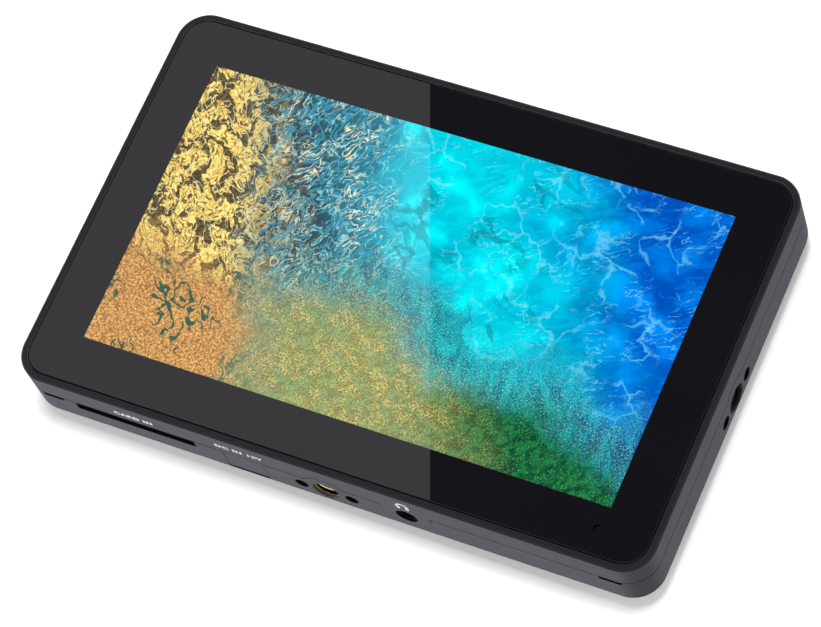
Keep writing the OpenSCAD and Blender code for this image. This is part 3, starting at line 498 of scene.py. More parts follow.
# %% Gold ripples
def gold_water(tree, place, low_part):
    """Broad gold patches with olive pools and thin dark outlines, orange and grainy below."""
    bent = pushed(tree, drawn_out(tree, place, 35, 1.5), 6, 2.4, 3)
    pools = bands(tree, bent, 8, 3.6, -0.55, -0.2, 3)
    lines = bands(tree, bent, 5, 9, 0.35, 0.85, 3, 0.55)
    gleam = bands(tree, bent, 3, 5, 0.78, 1.0, 3)
    sheen = bands(tree, pushed(tree, place, 3, 1.2), 4, 8, -0.6, 0.9, 3)
    grain = patches(tree, place, 0.5, 0.36, 0.66, 3, 0.75)
    weed, weed_places = bands(tree, bent, 5, 5, 0.5, 0.8, 2.5), patches(tree, place, 12, 0.46, 0.54)
    bright = mix(tree, sheen, rgb(0.60, 0.40, 0.075), rgb(0.87, 0.68, 0.18))
    pool = mix(tree, sheen, rgb(0.035, 0.024, 0.006), rgb(0.14, 0.10, 0.03))
    rust = mix(tree, grain, rgb(0.30, 0.12, 0.025), rgb(0.78, 0.44, 0.13))
    upper = coats(tree, mix(tree, pools, pool, bright),
                  (rgb(0.05, 0.032, 0.008), lines, 0.85),
                  (rgb(0.95, 0.80, 0.34), gleam, 0.7))
    lower = coats(tree, rust,
                  (rgb(0.16, 0.06, 0.015), lines, 0.5),
                  (rgb(0.012, 0.08, 0.05), weed, weed_places))
    return mix(tree, low_part, upper, lower)


# %% Teal ripples
def teal_water(tree, place, glow):
    """Dark teal, closely rippled, with cream and pale blue glints along the ripples."""
    bent = pushed(tree, drawn_out(tree, place, -30, 1.7), 4.5, 2.2, 3)
    close = bands(tree, bent, 3.6, 5, -0.5, 0.9, 3, 0.6)
    strokes = bands(tree, bent, 4.2, 7, 0.72, 0.97, 3, 0.6)
    spots = patches(tree, place, 9, 0.44, 0.60, 3, 0.6)
    pale = bands(tree, bent, 2.6, 4, 0.86, 1.0, 2.5)
    return coats(tree, mix(tree, close, rgb(0.004, 0.03, 0.045), rgb(0.012, 0.20, 0.30)),
                 (rgb(0.0, 0.36, 0.52), glow, 0.6),
                 (rgb(0.80, 0.74, 0.44), strokes, spots, 0.9),
                 (rgb(0.34, 0.66, 0.66), pale, 0.65))


# %% Clear water
def clear_water(tree, place, blue_part):
    """Bright cyan running into blue: soft swells, fine ripples across them and pale veins."""
    bent = pushed(tree, place, 14, 6, 4)
    leaning = pushed(tree, drawn_out(tree, place, -62, 2.6), 5, 1.8, 3)
    crossing = pushed(tree, drawn_out(tree, place, 50, 2.2), 4, 2, 3)
    depth = cells(tree, pushed(tree, bent, 3, 1.2, 3), 9, "SMOOTH_F1", 0.05, 0.5)
    veins = cells(tree, pushed(tree, bent, 4, 2.0, 4), 8, "DISTANCE_TO_EDGE", 0.07, 0.0)
    swell = bands(tree, drawn_out(tree, bent, 20, 2.2), 13, 3, -0.9, 0.9, 3)
    ripples = bands(tree, leaning, 4.5, 3, 0.0, 1.0, 3.5, 0.6)
    glitter = bands(tree, leaning, 2.2, 4, 0.80, 1.0, 3, 0.6)
    shadows = bands(tree, crossing, 7, 2.5, 0.55, 0.95, 3)
    glitter_places = patches(tree, place, 8, 0.44, 0.62, 3)
    vein_places = patches(tree, place, 10, 0.44, 0.58, 4, 0.6)
    shadow_places = patches(tree, place, 17, 0.46, 0.58)
    light = mix(tree, blue_part, rgb(0.0, 0.80, 0.86), rgb(0.0, 0.22, 0.78))
    dark = mix(tree, blue_part, rgb(0.0, 0.42, 0.56), rgb(0.0, 0.045, 0.36))
    return coats(tree, light,
                 (dark, depth, 0.8),
                 (dark, swell, 0.45),
                 (light, ripples, 0.28),
                 (rgb(0.22, 0.80, 0.92), glitter, glitter_places, 0.34),
                 (rgb(0.20, 0.80, 0.95), veins, vein_places, 0.35),
                 (rgb(0.0, 0.12, 0.17), shadows, shadow_places, calc(tree, "SUBTRACT", 1.0, blue_part), 0.5))


# %% Sand and weed
def sandy_floor(tree, place, green_part, speckle):
    """Speckled yellow sand that turns into deep green weed, with gold grains on both."""
    grit = step(tree, speckle, 0.40, 0.62)
    drift = patches(tree, drawn_out(tree, place, 60, 1.8), 4, 0.40, 0.58, 4, 0.65)
    hollow = patches(tree, drawn_out(tree, place, -50, 1.6), 1.6, 0.56, 0.40, 4, 0.7)
    sand = coats(tree, mix(tree, grit, rgb(0.10, 0.14, 0.035), rgb(0.72, 0.62, 0.20)),
                 (rgb(0.13, 0.27, 0.11), drift, 0.6),
                 (rgb(0.16, 0.13, 0.04), hollow, 0.5))
    weed = coats(tree, mix(tree, grit, rgb(0.0, 0.035, 0.018), rgb(0.02, 0.22, 0.07)),
                 (rgb(0.012, 0.19, 0.05), drift, 0.7),
                 (rgb(0.0, 0.02, 0.016), hollow, 0.65))
    gold_grains = step(tree, speckle, 0.63, 0.74)
    return coats(tree, sand, (weed, green_part), (rgb(0.72, 0.60, 0.16), gold_grains, 0.8))


# %% The picture's material
GLASS_IOR = 1.45
GLASS_ROUGHNESS = 0.008
PICTURE_GLOW = 1.25


def make_picture_material():
    material, tree, principled = new_material("lit_picture")
    place = object_place(tree)
    speckle = noise(tree, place, 0.42, 4, 0.85, flat=True).outputs[0]
    drifted = pushed(tree, pushed(tree, place, 24, 10, 3), 3, 2.2, 4)
    split = add_node(tree, "ShaderNodeSeparateXYZ", Vector=drifted).outputs
    across, along = split["X"], split["Y"]
    slant = calc(tree, "ADD", across, times(tree, along, 0.45))
    tide = calc(tree, "ADD", along, times(tree, across, 0.22))

    def shore(value, low, high):
        """A smooth change between two places, given in millimetres."""
        return step(tree, value, low * MM, high * MM)

    gold = gold_water(tree, place, shore(tide, -14, -27))
    teal = teal_water(tree, place, shore(slant, -24, 2))
    clear = clear_water(tree, place, shore(slant, 22, 56))
    ground = sandy_floor(tree, place, shore(across, 6, 34), speckle)
    rushing = patches(tree, drawn_out(tree, place, 15, 3), 2.2, 0.38, 0.62, 4, 0.7)
    wet = mix(tree, rushing, rgb(0.0, 0.05, 0.08), rgb(0.0, 0.27, 0.27))
    spray = mix(tree, step(tree, speckle, 0.50, 0.68), wet, rgb(0.30, 0.68, 0.56))
    colour = coats(tree, teal,
                   (gold, shore(slant, -20, -42)),
                   (clear, shore(slant, -8, 6)),
                   (spray, shore(tide, 4, -8), shore(across, -34, -8), 0.75),
                   (ground, shore(tide, -6, -19), shore(across, -36, -14)))
    fill_named(tree, principled, Base_Color=rgb(0.0, 0.0, 0.0), Roughness=GLASS_ROUGHNESS,
               IOR=GLASS_IOR, Emission_Color=colour, Emission_Strength=PICTURE_GLOW)
    return material


lit_picture = make_picture_material()

# %% [markdown]
# The border of the screen is a black print behind the glass: a deep black under a sharp gloss.

# %% The printed glass
def make_printed_glass():
    material, tree, principled = new_material("printed_glass")
    depth = noise(tree, object_place(tree), 30, detail=2).outputs[0]
    print_black = mix(tree, depth, rgb(0.0060, 0.0056, 0.0078), rgb(0.0082, 0.0076, 0.0104))
    fill_named(tree, principled, Base_Color=print_black, Roughness=GLASS_ROUGHNESS, IOR=GLASS_IOR)
    return material


printed_glass = make_printed_glass()
print("nodes in the picture's material:", len(lit_picture.node_tree.nodes))

# %% [markdown]
# ## Outlines and plates
# The glass, the pinhole's discs and the printed marks are built from rings of points. One call
# gives the points of a rounded rectangle, one lays them out at a height, one joins two rings
# with faces, and one makes a flat plate from two rings.

# %% Rounded outlines, rings and plates
def rounded_outline(w, h, r, per_corner=10):
    points = []
    for turn, (sx, sy) in enumerate(((1, 1), (-1, 1), (-1, -1), (1, -1))):
        for k in range(per_corner + 1):
            a = math.pi / 2 * (turn + k / per_corner)
            points.append((sx * (w / 2 - r) + r * math.cos(a), sy * (h / 2 - r) + r * math.sin(a)))
    return points


def ring_of(bm, points, z, centre=(0, 0)):
    return [bm.verts.new((centre[0] + x, centre[1] + y, z)) for x, y in points]


def bridge(bm, first, second):
    n = len(first)
    for i in range(n):
        j = (i + 1) % n
        bm.faces.new((first[i], first[j], second[j], second[i]))


def plate(bm, outline, low, high, centre):
    rings = [ring_of(bm, outline, z, centre) for z in (low, high)]
    bridge(bm, *rings)
    for ring in rings:
        bm.faces.new(ring)


# %% [markdown]
# ## The front frame and the rear shell
# The two shells are injection mouldings. The front frame carries the rim round the glass. Its top face is
# the walls' plastic, painted much darker as painted shade for the dim light from above, and a little
# smoother, so it gets a second material on the faces above the bevel's foot. Both shells are rounded copies
# of their nodes.
# Inside the walls, in the slots, the seam and the holes, the shells are painted a dead black as painted
# shade, so those faces get a third material.

# %% Dress the two shells
EDGE_R = 0.06 * MM
CASING_CORNER_R = 7 * MM
RIM_BEVEL = 0.4 * MM
RIM_SLACK = 0.02 * MM
RECESS_START = 0.35 * MM     # how far inside the walls the painted shade begins
BACK_SKIN = 0.3 * MM         # and how far from the back and from the front it keeps
FRONT_SKIN = 1.2 * MM
TAB_TOP = 11.7 * MM
TAB_DEPTH = 2.2 * MM
TAB_REACH = 6.5 * MM
JACK_HOLE_R = 2.5 * MM
jack = middle_of("headphone_jack")
shell_low, shell_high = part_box("rear_shell")
front_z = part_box("front_frame")[1].z


def depth_in_walls(place):
    """How far a place lies inside the casing's rounded outline."""
    x = abs(place.x) - (shell_high.x - CASING_CORNER_R)
    y = abs(place.y) - (shell_high.y - CASING_CORNER_R)
    if x > 0 and y > 0:
        return CASING_CORNER_R - math.hypot(x, y)
    return CASING_CORNER_R - max(x, y)


def by_the_tab(place):
    """The tab round the headphone jack fits so closely that its seam hardly shows."""
    aside = place.x - jack.x
    return (abs(aside) < TAB_REACH and place.z < TAB_TOP and place.y < TAB_DEPTH - shell_high.y
            and math.hypot(aside, place.z - jack.z) > JACK_HOLE_R)


front = rounded_copy("front_frame", "front_frame_shell", EDGE_R)
finish(front, "casing", wall_finish, ["front_frame"])
front.data.materials.append(rim_painted_shade)
# the faces of the rim's top get the painted shade
for face in front.data.polygons:
    if face.center.z > front_z - RIM_BEVEL - RIM_SLACK:
        face.material_index = 1
rear = rounded_copy("rear_shell", "rear_shell_moulding", EDGE_R)
finish(rear, "casing", wall_finish, ["rear_shell"])
# the faces deep inside the walls get the painted shade
for shell in (front, rear):
    shell.data.materials.append(recess_painted_shade)
    last = len(shell.data.materials) - 1
    for face in shell.data.polygons:
        within = shell_low.z + BACK_SKIN < face.center.z < front_z - FRONT_SKIN
        if within and depth_in_walls(face.center) > RECESS_START and not by_the_tab(face.center):
            face.material_index = last
print("shell faces:", len(front.data.polygons), len(rear.data.polygons))

# %% [markdown]
# ## The cover glass
# One clear sheet covers the whole front. A black border is printed behind it and the screen is
# bonded to it, so nothing shows between them. A really clear slab would let light choose at
# random between mirror and window, and the picture would be grainy. So the sheet is one closed
# piece here: its rim and edges are glossy black, and a window in its face carries the picture.
# Rings of points build it from the window outwards, over the ground edge and down to the back.

# %% The glass with its print and its picture
GLASS_EDGE_R = 0.12 * MM
GLASS_CORNER_R = 5.2 * MM
WINDOW_CORNER_R = 0.03 * MM
FILMS_MARGIN = 1 * MM
EDGE_STEPS = 4
FACE_UP = 0.999              # a face whose normal is this near to upright stays flat

glass_low, glass_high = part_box("cover_glass")
glass_size = glass_high - glass_low
films_low, films_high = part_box("diffuser_films")
picture_size = films_high - films_low - Vector((2, 2, 0)) * FILMS_MARGIN
picture_middle = (films_low + films_high) / 2

bm = bmesh.new()
window = rounded_outline(picture_size.x, picture_size.y, WINDOW_CORNER_R)
rings = [ring_of(bm, window, glass_high.z, picture_middle)]
for k in range(EDGE_STEPS + 1):
    a = math.pi / 2 * k / EDGE_STEPS
    inset = GLASS_EDGE_R * (1 - math.sin(a))
    outline = rounded_outline(glass_size.x - 2 * inset, glass_size.y - 2 * inset, GLASS_CORNER_R - inset)
    rings.append(ring_of(bm, outline, glass_high.z - GLASS_EDGE_R * (1 - math.cos(a))))
rings.append(ring_of(bm, rounded_outline(glass_size.x, glass_size.y, GLASS_CORNER_R), glass_low.z))
for first, second in zip(rings, rings[1:]):
    bridge(bm, first, second)
lit_face = bm.faces.new(rings[0])
lit_face.material_index = 1
bm.faces.new(rings[-1])
glass = add_mesh("front_glass", bm)
lit = [face.index for face in glass.data.polygons if face.material_index == 1]
finish(glass, "casing", printed_glass, ["cover_glass"])
glass.data.materials.append(lit_picture)
for face in glass.data.polygons:
    face.material_index = 1 if face.index in lit else 0
    face.use_smooth = abs(face.normal.z) < FACE_UP
print("picture of", round(picture_size.x / MM, 2), "x", round(picture_size.y / MM, 2), "mm")

# %% [markdown]
# The indicator shines through a pinhole in the print. When it is off, the hole's near side lies in shade, a
# crescent blacker than the print, and the light pipe's end closes the rest. Two thin discs show that: a dead
# black one, whose black is painted shade, and a glossy one laid over it a little to the side.

# %% The indicator's pinhole
PINHOLE_R = 0.8 * MM
PIPE_END_R = 0.7 * MM
PIPE_END_ASIDE = (0.28 * MM, -0.15 * MM)
PINHOLE_BACK = 1.3 * MM      # from the light pipe's right end
PINHOLE_UP = 0.4 * MM        # above the light pipe's middle
DISC_SINK = 0.02 * MM
PINHOLE_RISE = 0.006 * MM
PIPE_END_RISE = 0.01 * MM
# painted shade: the dead black of the pinhole's shaded side
pinhole_painted_shade = plastic("pinhole_painted_shade", (0.0004, 0.0004, 0.0004), 0.9, 0.1, Specular_IOR_Level=0.0)
pipe_low, pipe_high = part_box("light_pipe")
pinhole_x = pipe_high.x - PINHOLE_BACK
pinhole_y = (pipe_low.y + pipe_high.y) / 2 + PINHOLE_UP


def flat_disc(name, radius, x, y, rise, material):
    bm = bmesh.new()
    outline = rounded_outline(2 * radius, 2 * radius, 0.99 * radius)
    plate(bm, outline, glass_high.z - DISC_SINK, glass_high.z + rise, (x, y))
    finish(add_mesh(name, bm), "casing", material, smooth=False)


flat_disc("indicator_window", PINHOLE_R, pinhole_x, pinhole_y, PINHOLE_RISE, pinhole_painted_shade)
flat_disc("light_pipe_end", PIPE_END_R, pinhole_x + PIPE_END_ASIDE[0], pinhole_y + PIPE_END_ASIDE[1],
          PIPE_END_RISE, printed_glass)
print("pinhole at", round(pinhole_x / MM, 2), round(pinhole_y / MM, 2), "mm")

# %% [markdown]
# ## Printed marks
# The ports are marked in white ink: words for the card slot, the power jack and the two video
# sockets, and small pictograms over the headphone jack and beside the power button. The font's
# letters are turned into a mesh first and then moved onto the wall, so that the finished object
# stays at the origin.

# %% Letters on a wall
INK_T = 0.012 * MM
LETTER_SPACING = 1.15
LETTER_SPREAD = 0.045        # thickens the strokes, as a share of the font's size
STOOD_UP = Matrix.Rotation(math.pi / 2, 4, "X")
ON_WALL = {
    "bottom": STOOD_UP,
    "left": Matrix.Rotation(-math.pi / 2, 4, "Z") @ STOOD_UP,
    "top": Matrix.Rotation(math.pi, 4, "Z") @ STOOD_UP,
}
BOTTOM_WORDS = {             # port, text, width, height, how far aside of the port and below the front
    "card_label": ("card_socket", "CARD IN", 9.2, 1.35, 0.5, 4.15),
    "power_label": ("dc_flap", "DC IN 12V", 11.1, 1.3, -0.15, 3.85),
}


def put_on_wall(piece, wall, place):
    piece.data.transform(Matrix.Translation(Vector(place)) @ ON_WALL[wall])
    return finish(piece, "casing", white_ink, smooth=False)


def words(name, text, width, height):
    """Flat letters as a mesh, width by height, centred on the origin."""
    curve = bpy.data.curves.new(name, "FONT")
    curve.body = text
    curve.extrude = INK_T
    curve.offset = LETTER_SPREAD
    curve.space_character = LETTER_SPACING
    letters = add_object(name + "_font", curve)
    bpy.context.view_layer.update()
    mesh = bpy.data.meshes.new_from_object(letters.evaluated_get(bpy.context.evaluated_depsgraph_get()))
    bpy.data.objects.remove(letters)
    xs, ys = [v.co.x for v in mesh.vertices], [v.co.y for v in mesh.vertices]
    middle = Vector(((min(xs) + max(xs)) / 2, (min(ys) + max(ys)) / 2, 0))
    size = Vector((width / (max(xs) - min(xs)), height / (max(ys) - min(ys)), 1, 1))
    mesh.transform(Matrix.Diagonal(size) @ Matrix.Translation(-middle))
    return add_object(name, mesh)


for name, (port, text, width, height, aside, below) in BOTTOM_WORDS.items():
    put_on_wall(words(name, text, width * MM, height * MM), "bottom",
                (middle_of(port).x + aside * MM, shell_low.y, front_z - below * MM))
print("words on the bottom wall:", len(BOTTOM_WORDS))

# %% [markdown]
# A pictogram is drawn from bands and blocks of ink: a headband with two ear pads, and a broken
# ring with a stroke.

# %% Pictograms
def ring_sector(bm, r_in, r_out, start, end, steps=20):
    """A flat curved band, as thick as the ink."""
    rows = []
    for k in range(steps + 1):
        a = math.radians(start + (end - start) * k / steps)
        c, s = math.cos(a), math.sin(a)
        rows.append([bm.verts.new((r * c, r * s, z))
                     for r, z in ((r_in, -INK_T), (r_out, -INK_T), (r_out, INK_T), (r_in, INK_T))])
    for first, second in zip(rows, rows[1:]):
        bridge(bm, first, second)
    bm.faces.new(rows[0])
    bm.faces.new(rows[-1])


def ink_block(bm, size, per_corner, centre):
    plate(bm, rounded_outline(*size, per_corner), -INK_T, INK_T, centre)


HEADBAND = (1.0 * MM, 1.55 * MM)                     # inner and outer radius
EAR_PAD = (0.85 * MM, 1.3 * MM, 0.35 * MM)           # width, height and corner radius
EAR_PAD_BELOW = 0.5 * MM
HEADPHONE_MARK_BELOW = 4.15 * MM
bm = bmesh.new()
ring_sector(bm, *HEADBAND, -20, 200)
for side in (-1, 1):
    ink_block(bm, EAR_PAD, 4, (side * HEADBAND[0], -EAR_PAD_BELOW))
put_on_wall(add_mesh("headphone_mark", bm), "bottom", (jack.x, shell_low.y, front_z - HEADPHONE_MARK_BELOW))

POWER_RING = (0.75 * MM, 0.98 * MM)
POWER_STROKE = (0.24 * MM, 1.0 * MM, 0.1 * MM)
POWER_MARK_ASIDE = 7.5 * MM
button = middle_of("power_button")
bm = bmesh.new()
ring_sector(bm, *POWER_RING, 120, 420)
ink_block(bm, POWER_STROKE, 3, (0, POWER_RING[0]))
put_on_wall(add_mesh("power_mark", bm), "top", (button.x + POWER_MARK_ASIDE, shell_high.y, button.z))
print("the headphone sign is", round(2 * HEADBAND[1] / MM, 2), "mm wide")

# %% [markdown]
# The video sockets on the left wall are marked with one word each.

# %% Words for the video sockets
LETTER_W = 0.95 * MM
VIDEO_WORD_H = 1.15 * MM
VIDEO_WORD_BELOW = 4.2 * MM
for node, text in (("video_in_socket", "IN"), ("video_out_socket", "OUT")):
    put_on_wall(words(node + "_label", text, LETTER_W * len(text), VIDEO_WORD_H), "left",
                (shell_low.x, middle_of(node).y, front_z - VIDEO_WORD_BELOW))
print("ink on the walls is", round(2 * INK_T / MM, 3), "mm thick")

# %% [markdown]
# ## Threads
# Both tripod sockets are brass inserts with a 1/4 inch thread of 20 turns to the inch. A thread is the
# plainest case of a shape that follows a path: Geometry Nodes sweep a profile along a helix. With four sides
# its corners point in to the screw and out into the brass, and with more it is a round wire. The bottom
# socket is bright brass, and the one in the side wall is painted darker, as painted shade in its hole.

# %% A tree that sweeps a ridge along a helix
def new_tree(name, inputs):
    tree = bpy.data.node_groups.new(name, "GeometryNodeTree")
    for label, kind, value in inputs:
        socket = tree.interface.new_socket(label, in_out="INPUT", socket_type=kind)
        if value is not None:
            socket.default_value = value
    tree.interface.new_socket("Geometry", in_out="OUTPUT", socket_type="NodeSocketGeometry")
    return tree, tree.nodes.new("NodeGroupInput"), tree.nodes.new("NodeGroupOutput")


def close_tree(tree, start, end, geometry):
    """Realize Instances and Set Material end every tree."""
    real = add_node(tree, "GeometryNodeRealizeInstances", Geometry=geometry)
    painted = add_node(tree, "GeometryNodeSetMaterial", Geometry=real.outputs[0],
                       Material=start.outputs["Material"])
    fill(tree, end.inputs["Geometry"], painted.outputs[0])
    return tree


def make_thread_tree():
    tree, start, end = new_tree("helical_ridge", [
        ("Radius", "NodeSocketFloat", 0.003), ("Length", "NodeSocketFloat", 0.008),
        ("Turns", "NodeSocketFloat", 6.0), ("Ridge", "NodeSocketFloat", 0.0006),
        ("Sides", "NodeSocketInt", 4), ("Material", "NodeSocketMaterial", None)])
    helix = add_node(tree, "GeometryNodeCurveSpiral", Resolution=48, Rotations=start.outputs["Turns"],
                     Start_Radius=start.outputs["Radius"], End_Radius=start.outputs["Radius"],
                     Height=start.outputs["Length"])
    upright = add_node(tree, "GeometryNodeSetCurveNormal", {"mode": "Z_UP"}, Curve=helix.outputs[0])
    profile = add_node(tree, "GeometryNodeCurvePrimitiveCircle", Resolution=start.outputs["Sides"],
                       Radius=start.outputs["Ridge"])
    swept = add_node(tree, "GeometryNodeCurveToMesh", Curve=upright.outputs[0],
                     Profile_Curve=profile.outputs[0], Fill_Caps=True)
    return close_tree(tree, start, end, swept.outputs[0])


# %% [markdown]
# A tree becomes a plain mesh in three steps: it runs on a mesh that is empty or holds only
# points, the evaluated result is copied, and the modifier goes away with its object.

# %% Turn a tree's result into a mesh
def run_tree(name, tree, values, points=()):
    base = bpy.data.meshes.new(name + "_base")
    base.from_pydata([tuple(p) for p in points], [], [])
    carrier = add_object(name + "_carrier", base)
    modifier = carrier.modifiers.new("nodes", "NODES")
    modifier.node_group = tree
    for item in tree.interface.items_tree:
        if item.in_out == "INPUT" and item.name in values:
            modifier[item.identifier] = values[item.name]
    bpy.context.view_layer.update()
    depsgraph = bpy.context.evaluated_depsgraph_get()
    mesh = bpy.data.meshes.new_from_object(carrier.evaluated_get(depsgraph))
    bpy.data.objects.remove(carrier)
    mesh.name = name
    print(name, "has", len(mesh.polygons), "faces")
    return add_object(name, mesh)


# %% [markdown]
# The ridge of each thread starts just inside the mouth and ends before the bottom of the insert.

# %% Both tripod threads
THREAD_PITCH = 25.4 / 20 * MM
THREAD_R = 2.66 * MM
THREAD_RIDGE = 0.36 * MM
INSERT_DEPTH = 8 * MM
THREAD_LENGTH = INSERT_DEPTH - 0.6 * MM
MOUTH_MARGIN = 0.1 * MM
INSERTS = {                  # how a thread turns into the casing, and its brass
    "bottom_thread_insert": (Matrix.Rotation(-math.pi / 2, 4, "X"), turned_brass),
    "side_thread_insert": (Matrix.Rotation(-math.pi / 2, 4, "Y"), brass_painted_shade),
}
thread_tree = make_thread_tree()
for node, (turn, brass) in INSERTS.items():
    low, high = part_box(node)
    mouth = (low + high) / 2
    if node.startswith("bottom"):
        mouth.y = low.y
    else:
        mouth.x = high.x
    thread = run_tree(node + "_ridge", thread_tree, {
        "Radius": THREAD_R, "Length": THREAD_LENGTH, "Turns": THREAD_LENGTH / THREAD_PITCH,
        "Ridge": THREAD_RIDGE, "Material": brass})
    thread.data.transform(Matrix.Translation(mouth) @ turn @ Matrix.Translation((0, 0, MOUTH_MARGIN)))
    finish(thread, "casing", brass)

# %% [markdown]
# ## Screws
# Four kinds of cross-head screw hold the monitor together. One tree makes them all: a domed
# head with a cross cut into it, a shank, and a thread swept round the shank. It is placed on a
# point for each screw of the solid model, and the sizes are inputs, so each kind needs only
# its own numbers.

# %% A tree that sets cross-head screws on points
DOME_SHARE = 0.72            # shares of the head's radius: its outer face and the cross's bars
CROSS_LENGTH = 1.15
CROSS_WIDTH = 0.26
RIDGE_START = 0.12           # shares of the shank's length
RIDGE_SHARE = 0.8
RIDGE_DEPTH = 0.35           # a share of the pitch


def vector(tree, x=0.0, y=0.0, z=0.0):
    return add_node(tree, "ShaderNodeCombineXYZ", X=x, Y=y, Z=z).outputs[0]


def moved(tree, geometry, x=0.0, y=0.0, z=0.0):
    return add_node(tree, "GeometryNodeTransform", Geometry=geometry,
                    Translation=vector(tree, x, y, z)).outputs[0]


def make_screw_tree():
    tree, start, end = new_tree("cross_head_screws", [
        ("Points", "NodeSocketGeometry", None), ("Head Radius", "NodeSocketFloat", 0.0019),
        ("Head Height", "NodeSocketFloat", 0.0013), ("Shank Radius", "NodeSocketFloat", 0.001),
        ("Length", "NodeSocketFloat", 0.009), ("Pitch", "NodeSocketFloat", 0.0005),
        ("Material", "NodeSocketMaterial", None)])
    size = {name: start.outputs[name] for name in
            ("Head Radius", "Head Height", "Shank Radius", "Length", "Pitch")}
    half = times(tree, size["Head Height"], 0.5)
    rim = add_node(tree, "GeometryNodeMeshCylinder", Vertices=32, Radius=size["Head Radius"], Depth=half)
    rim = moved(tree, rim.outputs[0], z=times(tree, size["Head Height"], 0.75))
    dome = add_node(tree, "GeometryNodeMeshCone", Vertices=32, Radius_Top=size["Head Radius"],
                    Radius_Bottom=times(tree, size["Head Radius"], DOME_SHARE), Depth=half)
    shank_length = calc(tree, "SUBTRACT", size["Length"], half)
    shank = add_node(tree, "GeometryNodeMeshCylinder", Vertices=20, Radius=size["Shank Radius"],
                     Depth=shank_length)
    shank = moved(tree, shank.outputs[0], z=calc(tree, "ADD", half, times(tree, shank_length, 0.5)))
    joined = add_node(tree, "GeometryNodeMeshBoolean", {"operation": "UNION", "solver": "EXACT"})
    for part in (rim, dome.outputs[0], shank):
        tree.links.new(part, joined.inputs["Mesh 2"])
    cross = add_node(tree, "GeometryNodeJoinGeometry")
    long_side = times(tree, size["Head Radius"], CROSS_LENGTH)
    thin_side = times(tree, size["Head Radius"], CROSS_WIDTH)
    for x, y in ((long_side, thin_side), (thin_side, long_side)):
        bar = add_node(tree, "GeometryNodeMeshCube", Size=vector(tree, x, y, size["Head Height"]))
        tree.links.new(bar.outputs[0], cross.inputs[0])
    cut = add_node(tree, "GeometryNodeMeshBoolean", {"operation": "DIFFERENCE", "solver": "EXACT"})
    cut.inputs["Self Intersection"].default_value = True
    fill(tree, cut.inputs["Mesh 1"], joined.outputs[0])
    fill(tree, cut.inputs["Mesh 2"], cross.outputs[0])
    ridge_length = times(tree, shank_length, RIDGE_SHARE)
    helix = add_node(tree, "GeometryNodeCurveSpiral", Resolution=12, Height=ridge_length,
                     Rotations=calc(tree, "DIVIDE", ridge_length, size["Pitch"]),
                     Start_Radius=size["Shank Radius"], End_Radius=size["Shank Radius"])
    upright = add_node(tree, "GeometryNodeSetCurveNormal", {"mode": "Z_UP"}, Curve=helix.outputs[0])
    profile = add_node(tree, "GeometryNodeCurvePrimitiveCircle", Resolution=4,
                       Radius=times(tree, size["Pitch"], RIDGE_DEPTH))
    ridge = add_node(tree, "GeometryNodeCurveToMesh", Curve=upright.outputs[0],
                     Profile_Curve=profile.outputs[0], Fill_Caps=True)
    ridge_start = calc(tree, "ADD", size["Head Height"], times(tree, shank_length, RIDGE_START))
    ridge = moved(tree, ridge.outputs[0], z=ridge_start)
    whole = add_node(tree, "GeometryNodeJoinGeometry")
    for part in (ridge, cut.outputs[0]):
        tree.links.new(part, whole.inputs[0])
    placed = add_node(tree, "GeometryNodeInstanceOnPoints", Points=start.outputs["Points"],
                      Instance=whole.outputs[0])
    return close_tree(tree, start, end, placed.outputs[0])


# %% Set the four kinds of screw
SHANK_R = 0.95 * MM
SCREW_PITCH = 0.5 * MM
SCREW_KINDS = {              # head radius and head height in millimetres, material, slot
    "case_screws": (1.9, 1.3, screw_black, "black_screw"),
    "plate_screws": (1.8, 0.7, screw_black, "black_screw"),
    "chassis_screws": (1.7, 0.6, tinned_steel, "steel"),
    "board_screws": (1.8, 1.1, tinned_steel, "steel"),
}
screw_tree = make_screw_tree()
for node, (head_r, head_h, material, slot) in SCREW_KINDS.items():
    boxes = separate_boxes(node)
    spots = [((low.x + high.x) / 2, (low.y + high.y) / 2, low.z) for low, high in boxes]
    screws = run_tree(node + "_set", screw_tree, {
        "Head Radius": head_r * MM, "Head Height": head_h * MM, "Shank Radius": SHANK_R,
        "Length": boxes[0][1].z - boxes[0][0].z, "Pitch": SCREW_PITCH, "Material": material}, spots)
    finish(screws, "casing", material, [node], smooth=False)

# %% [markdown]
# ## Contacts
# Sockets carry rows of gilt contacts. One tree repeats a small bar along a line, with the
# number, the step and the bar's size as inputs, and serves every row.

# %% A tree that repeats a bar along a line
def make_row_tree():
    tree, start, end = new_tree("row_of_bars", [
        ("Count", "NodeSocketInt", 9), ("First", "NodeSocketVector", (0.0, 0.0, 0.0)),
        ("Step", "NodeSocketVector", (0.0, 0.0005, 0.0)),
        ("Bar", "NodeSocketVector", (0.005, 0.0002, 0.0001)), ("Material", "NodeSocketMaterial", None)])
    line = add_node(tree, "GeometryNodeMeshLine", Count=start.outputs["Count"],
                    Start_Location=start.outputs["First"], Offset=start.outputs["Step"])
    bar = add_node(tree, "GeometryNodeMeshCube", Size=start.outputs["Bar"])
    placed = add_node(tree, "GeometryNodeInstanceOnPoints", Points=line.outputs[0], Instance=bar.outputs[0])
    return close_tree(tree, start, end, placed.outputs[0])


row_tree = make_row_tree()


def row(name, count, first, step_by, bar, material=plated_gold, body="casing"):
    piece = run_tree(name, row_tree, {"Count": count, "First": first, "Step": step_by, "Bar": bar,
                                      "Material": material})
    return finish(piece, body, material, smooth=False)


# %% Contacts on the video sockets' tongues
VIDEO_PITCH = 1.0 * MM
VIDEO_CONTACT = (5.6 * MM, 0.45 * MM, 0.08 * MM)
for i, (low, high) in enumerate(separate_boxes("video_tongues")):
    middle = (low + high) / 2
    for side, z, count in (("upper", high.z, 10), ("lower", low.z, 9)):
        first = (middle.x, middle.y - (count - 1) / 2 * VIDEO_PITCH, z)
        row(f"video_contacts_{i + 1}_{side}", count, first, (0, VIDEO_PITCH, 0), VIDEO_CONTACT)

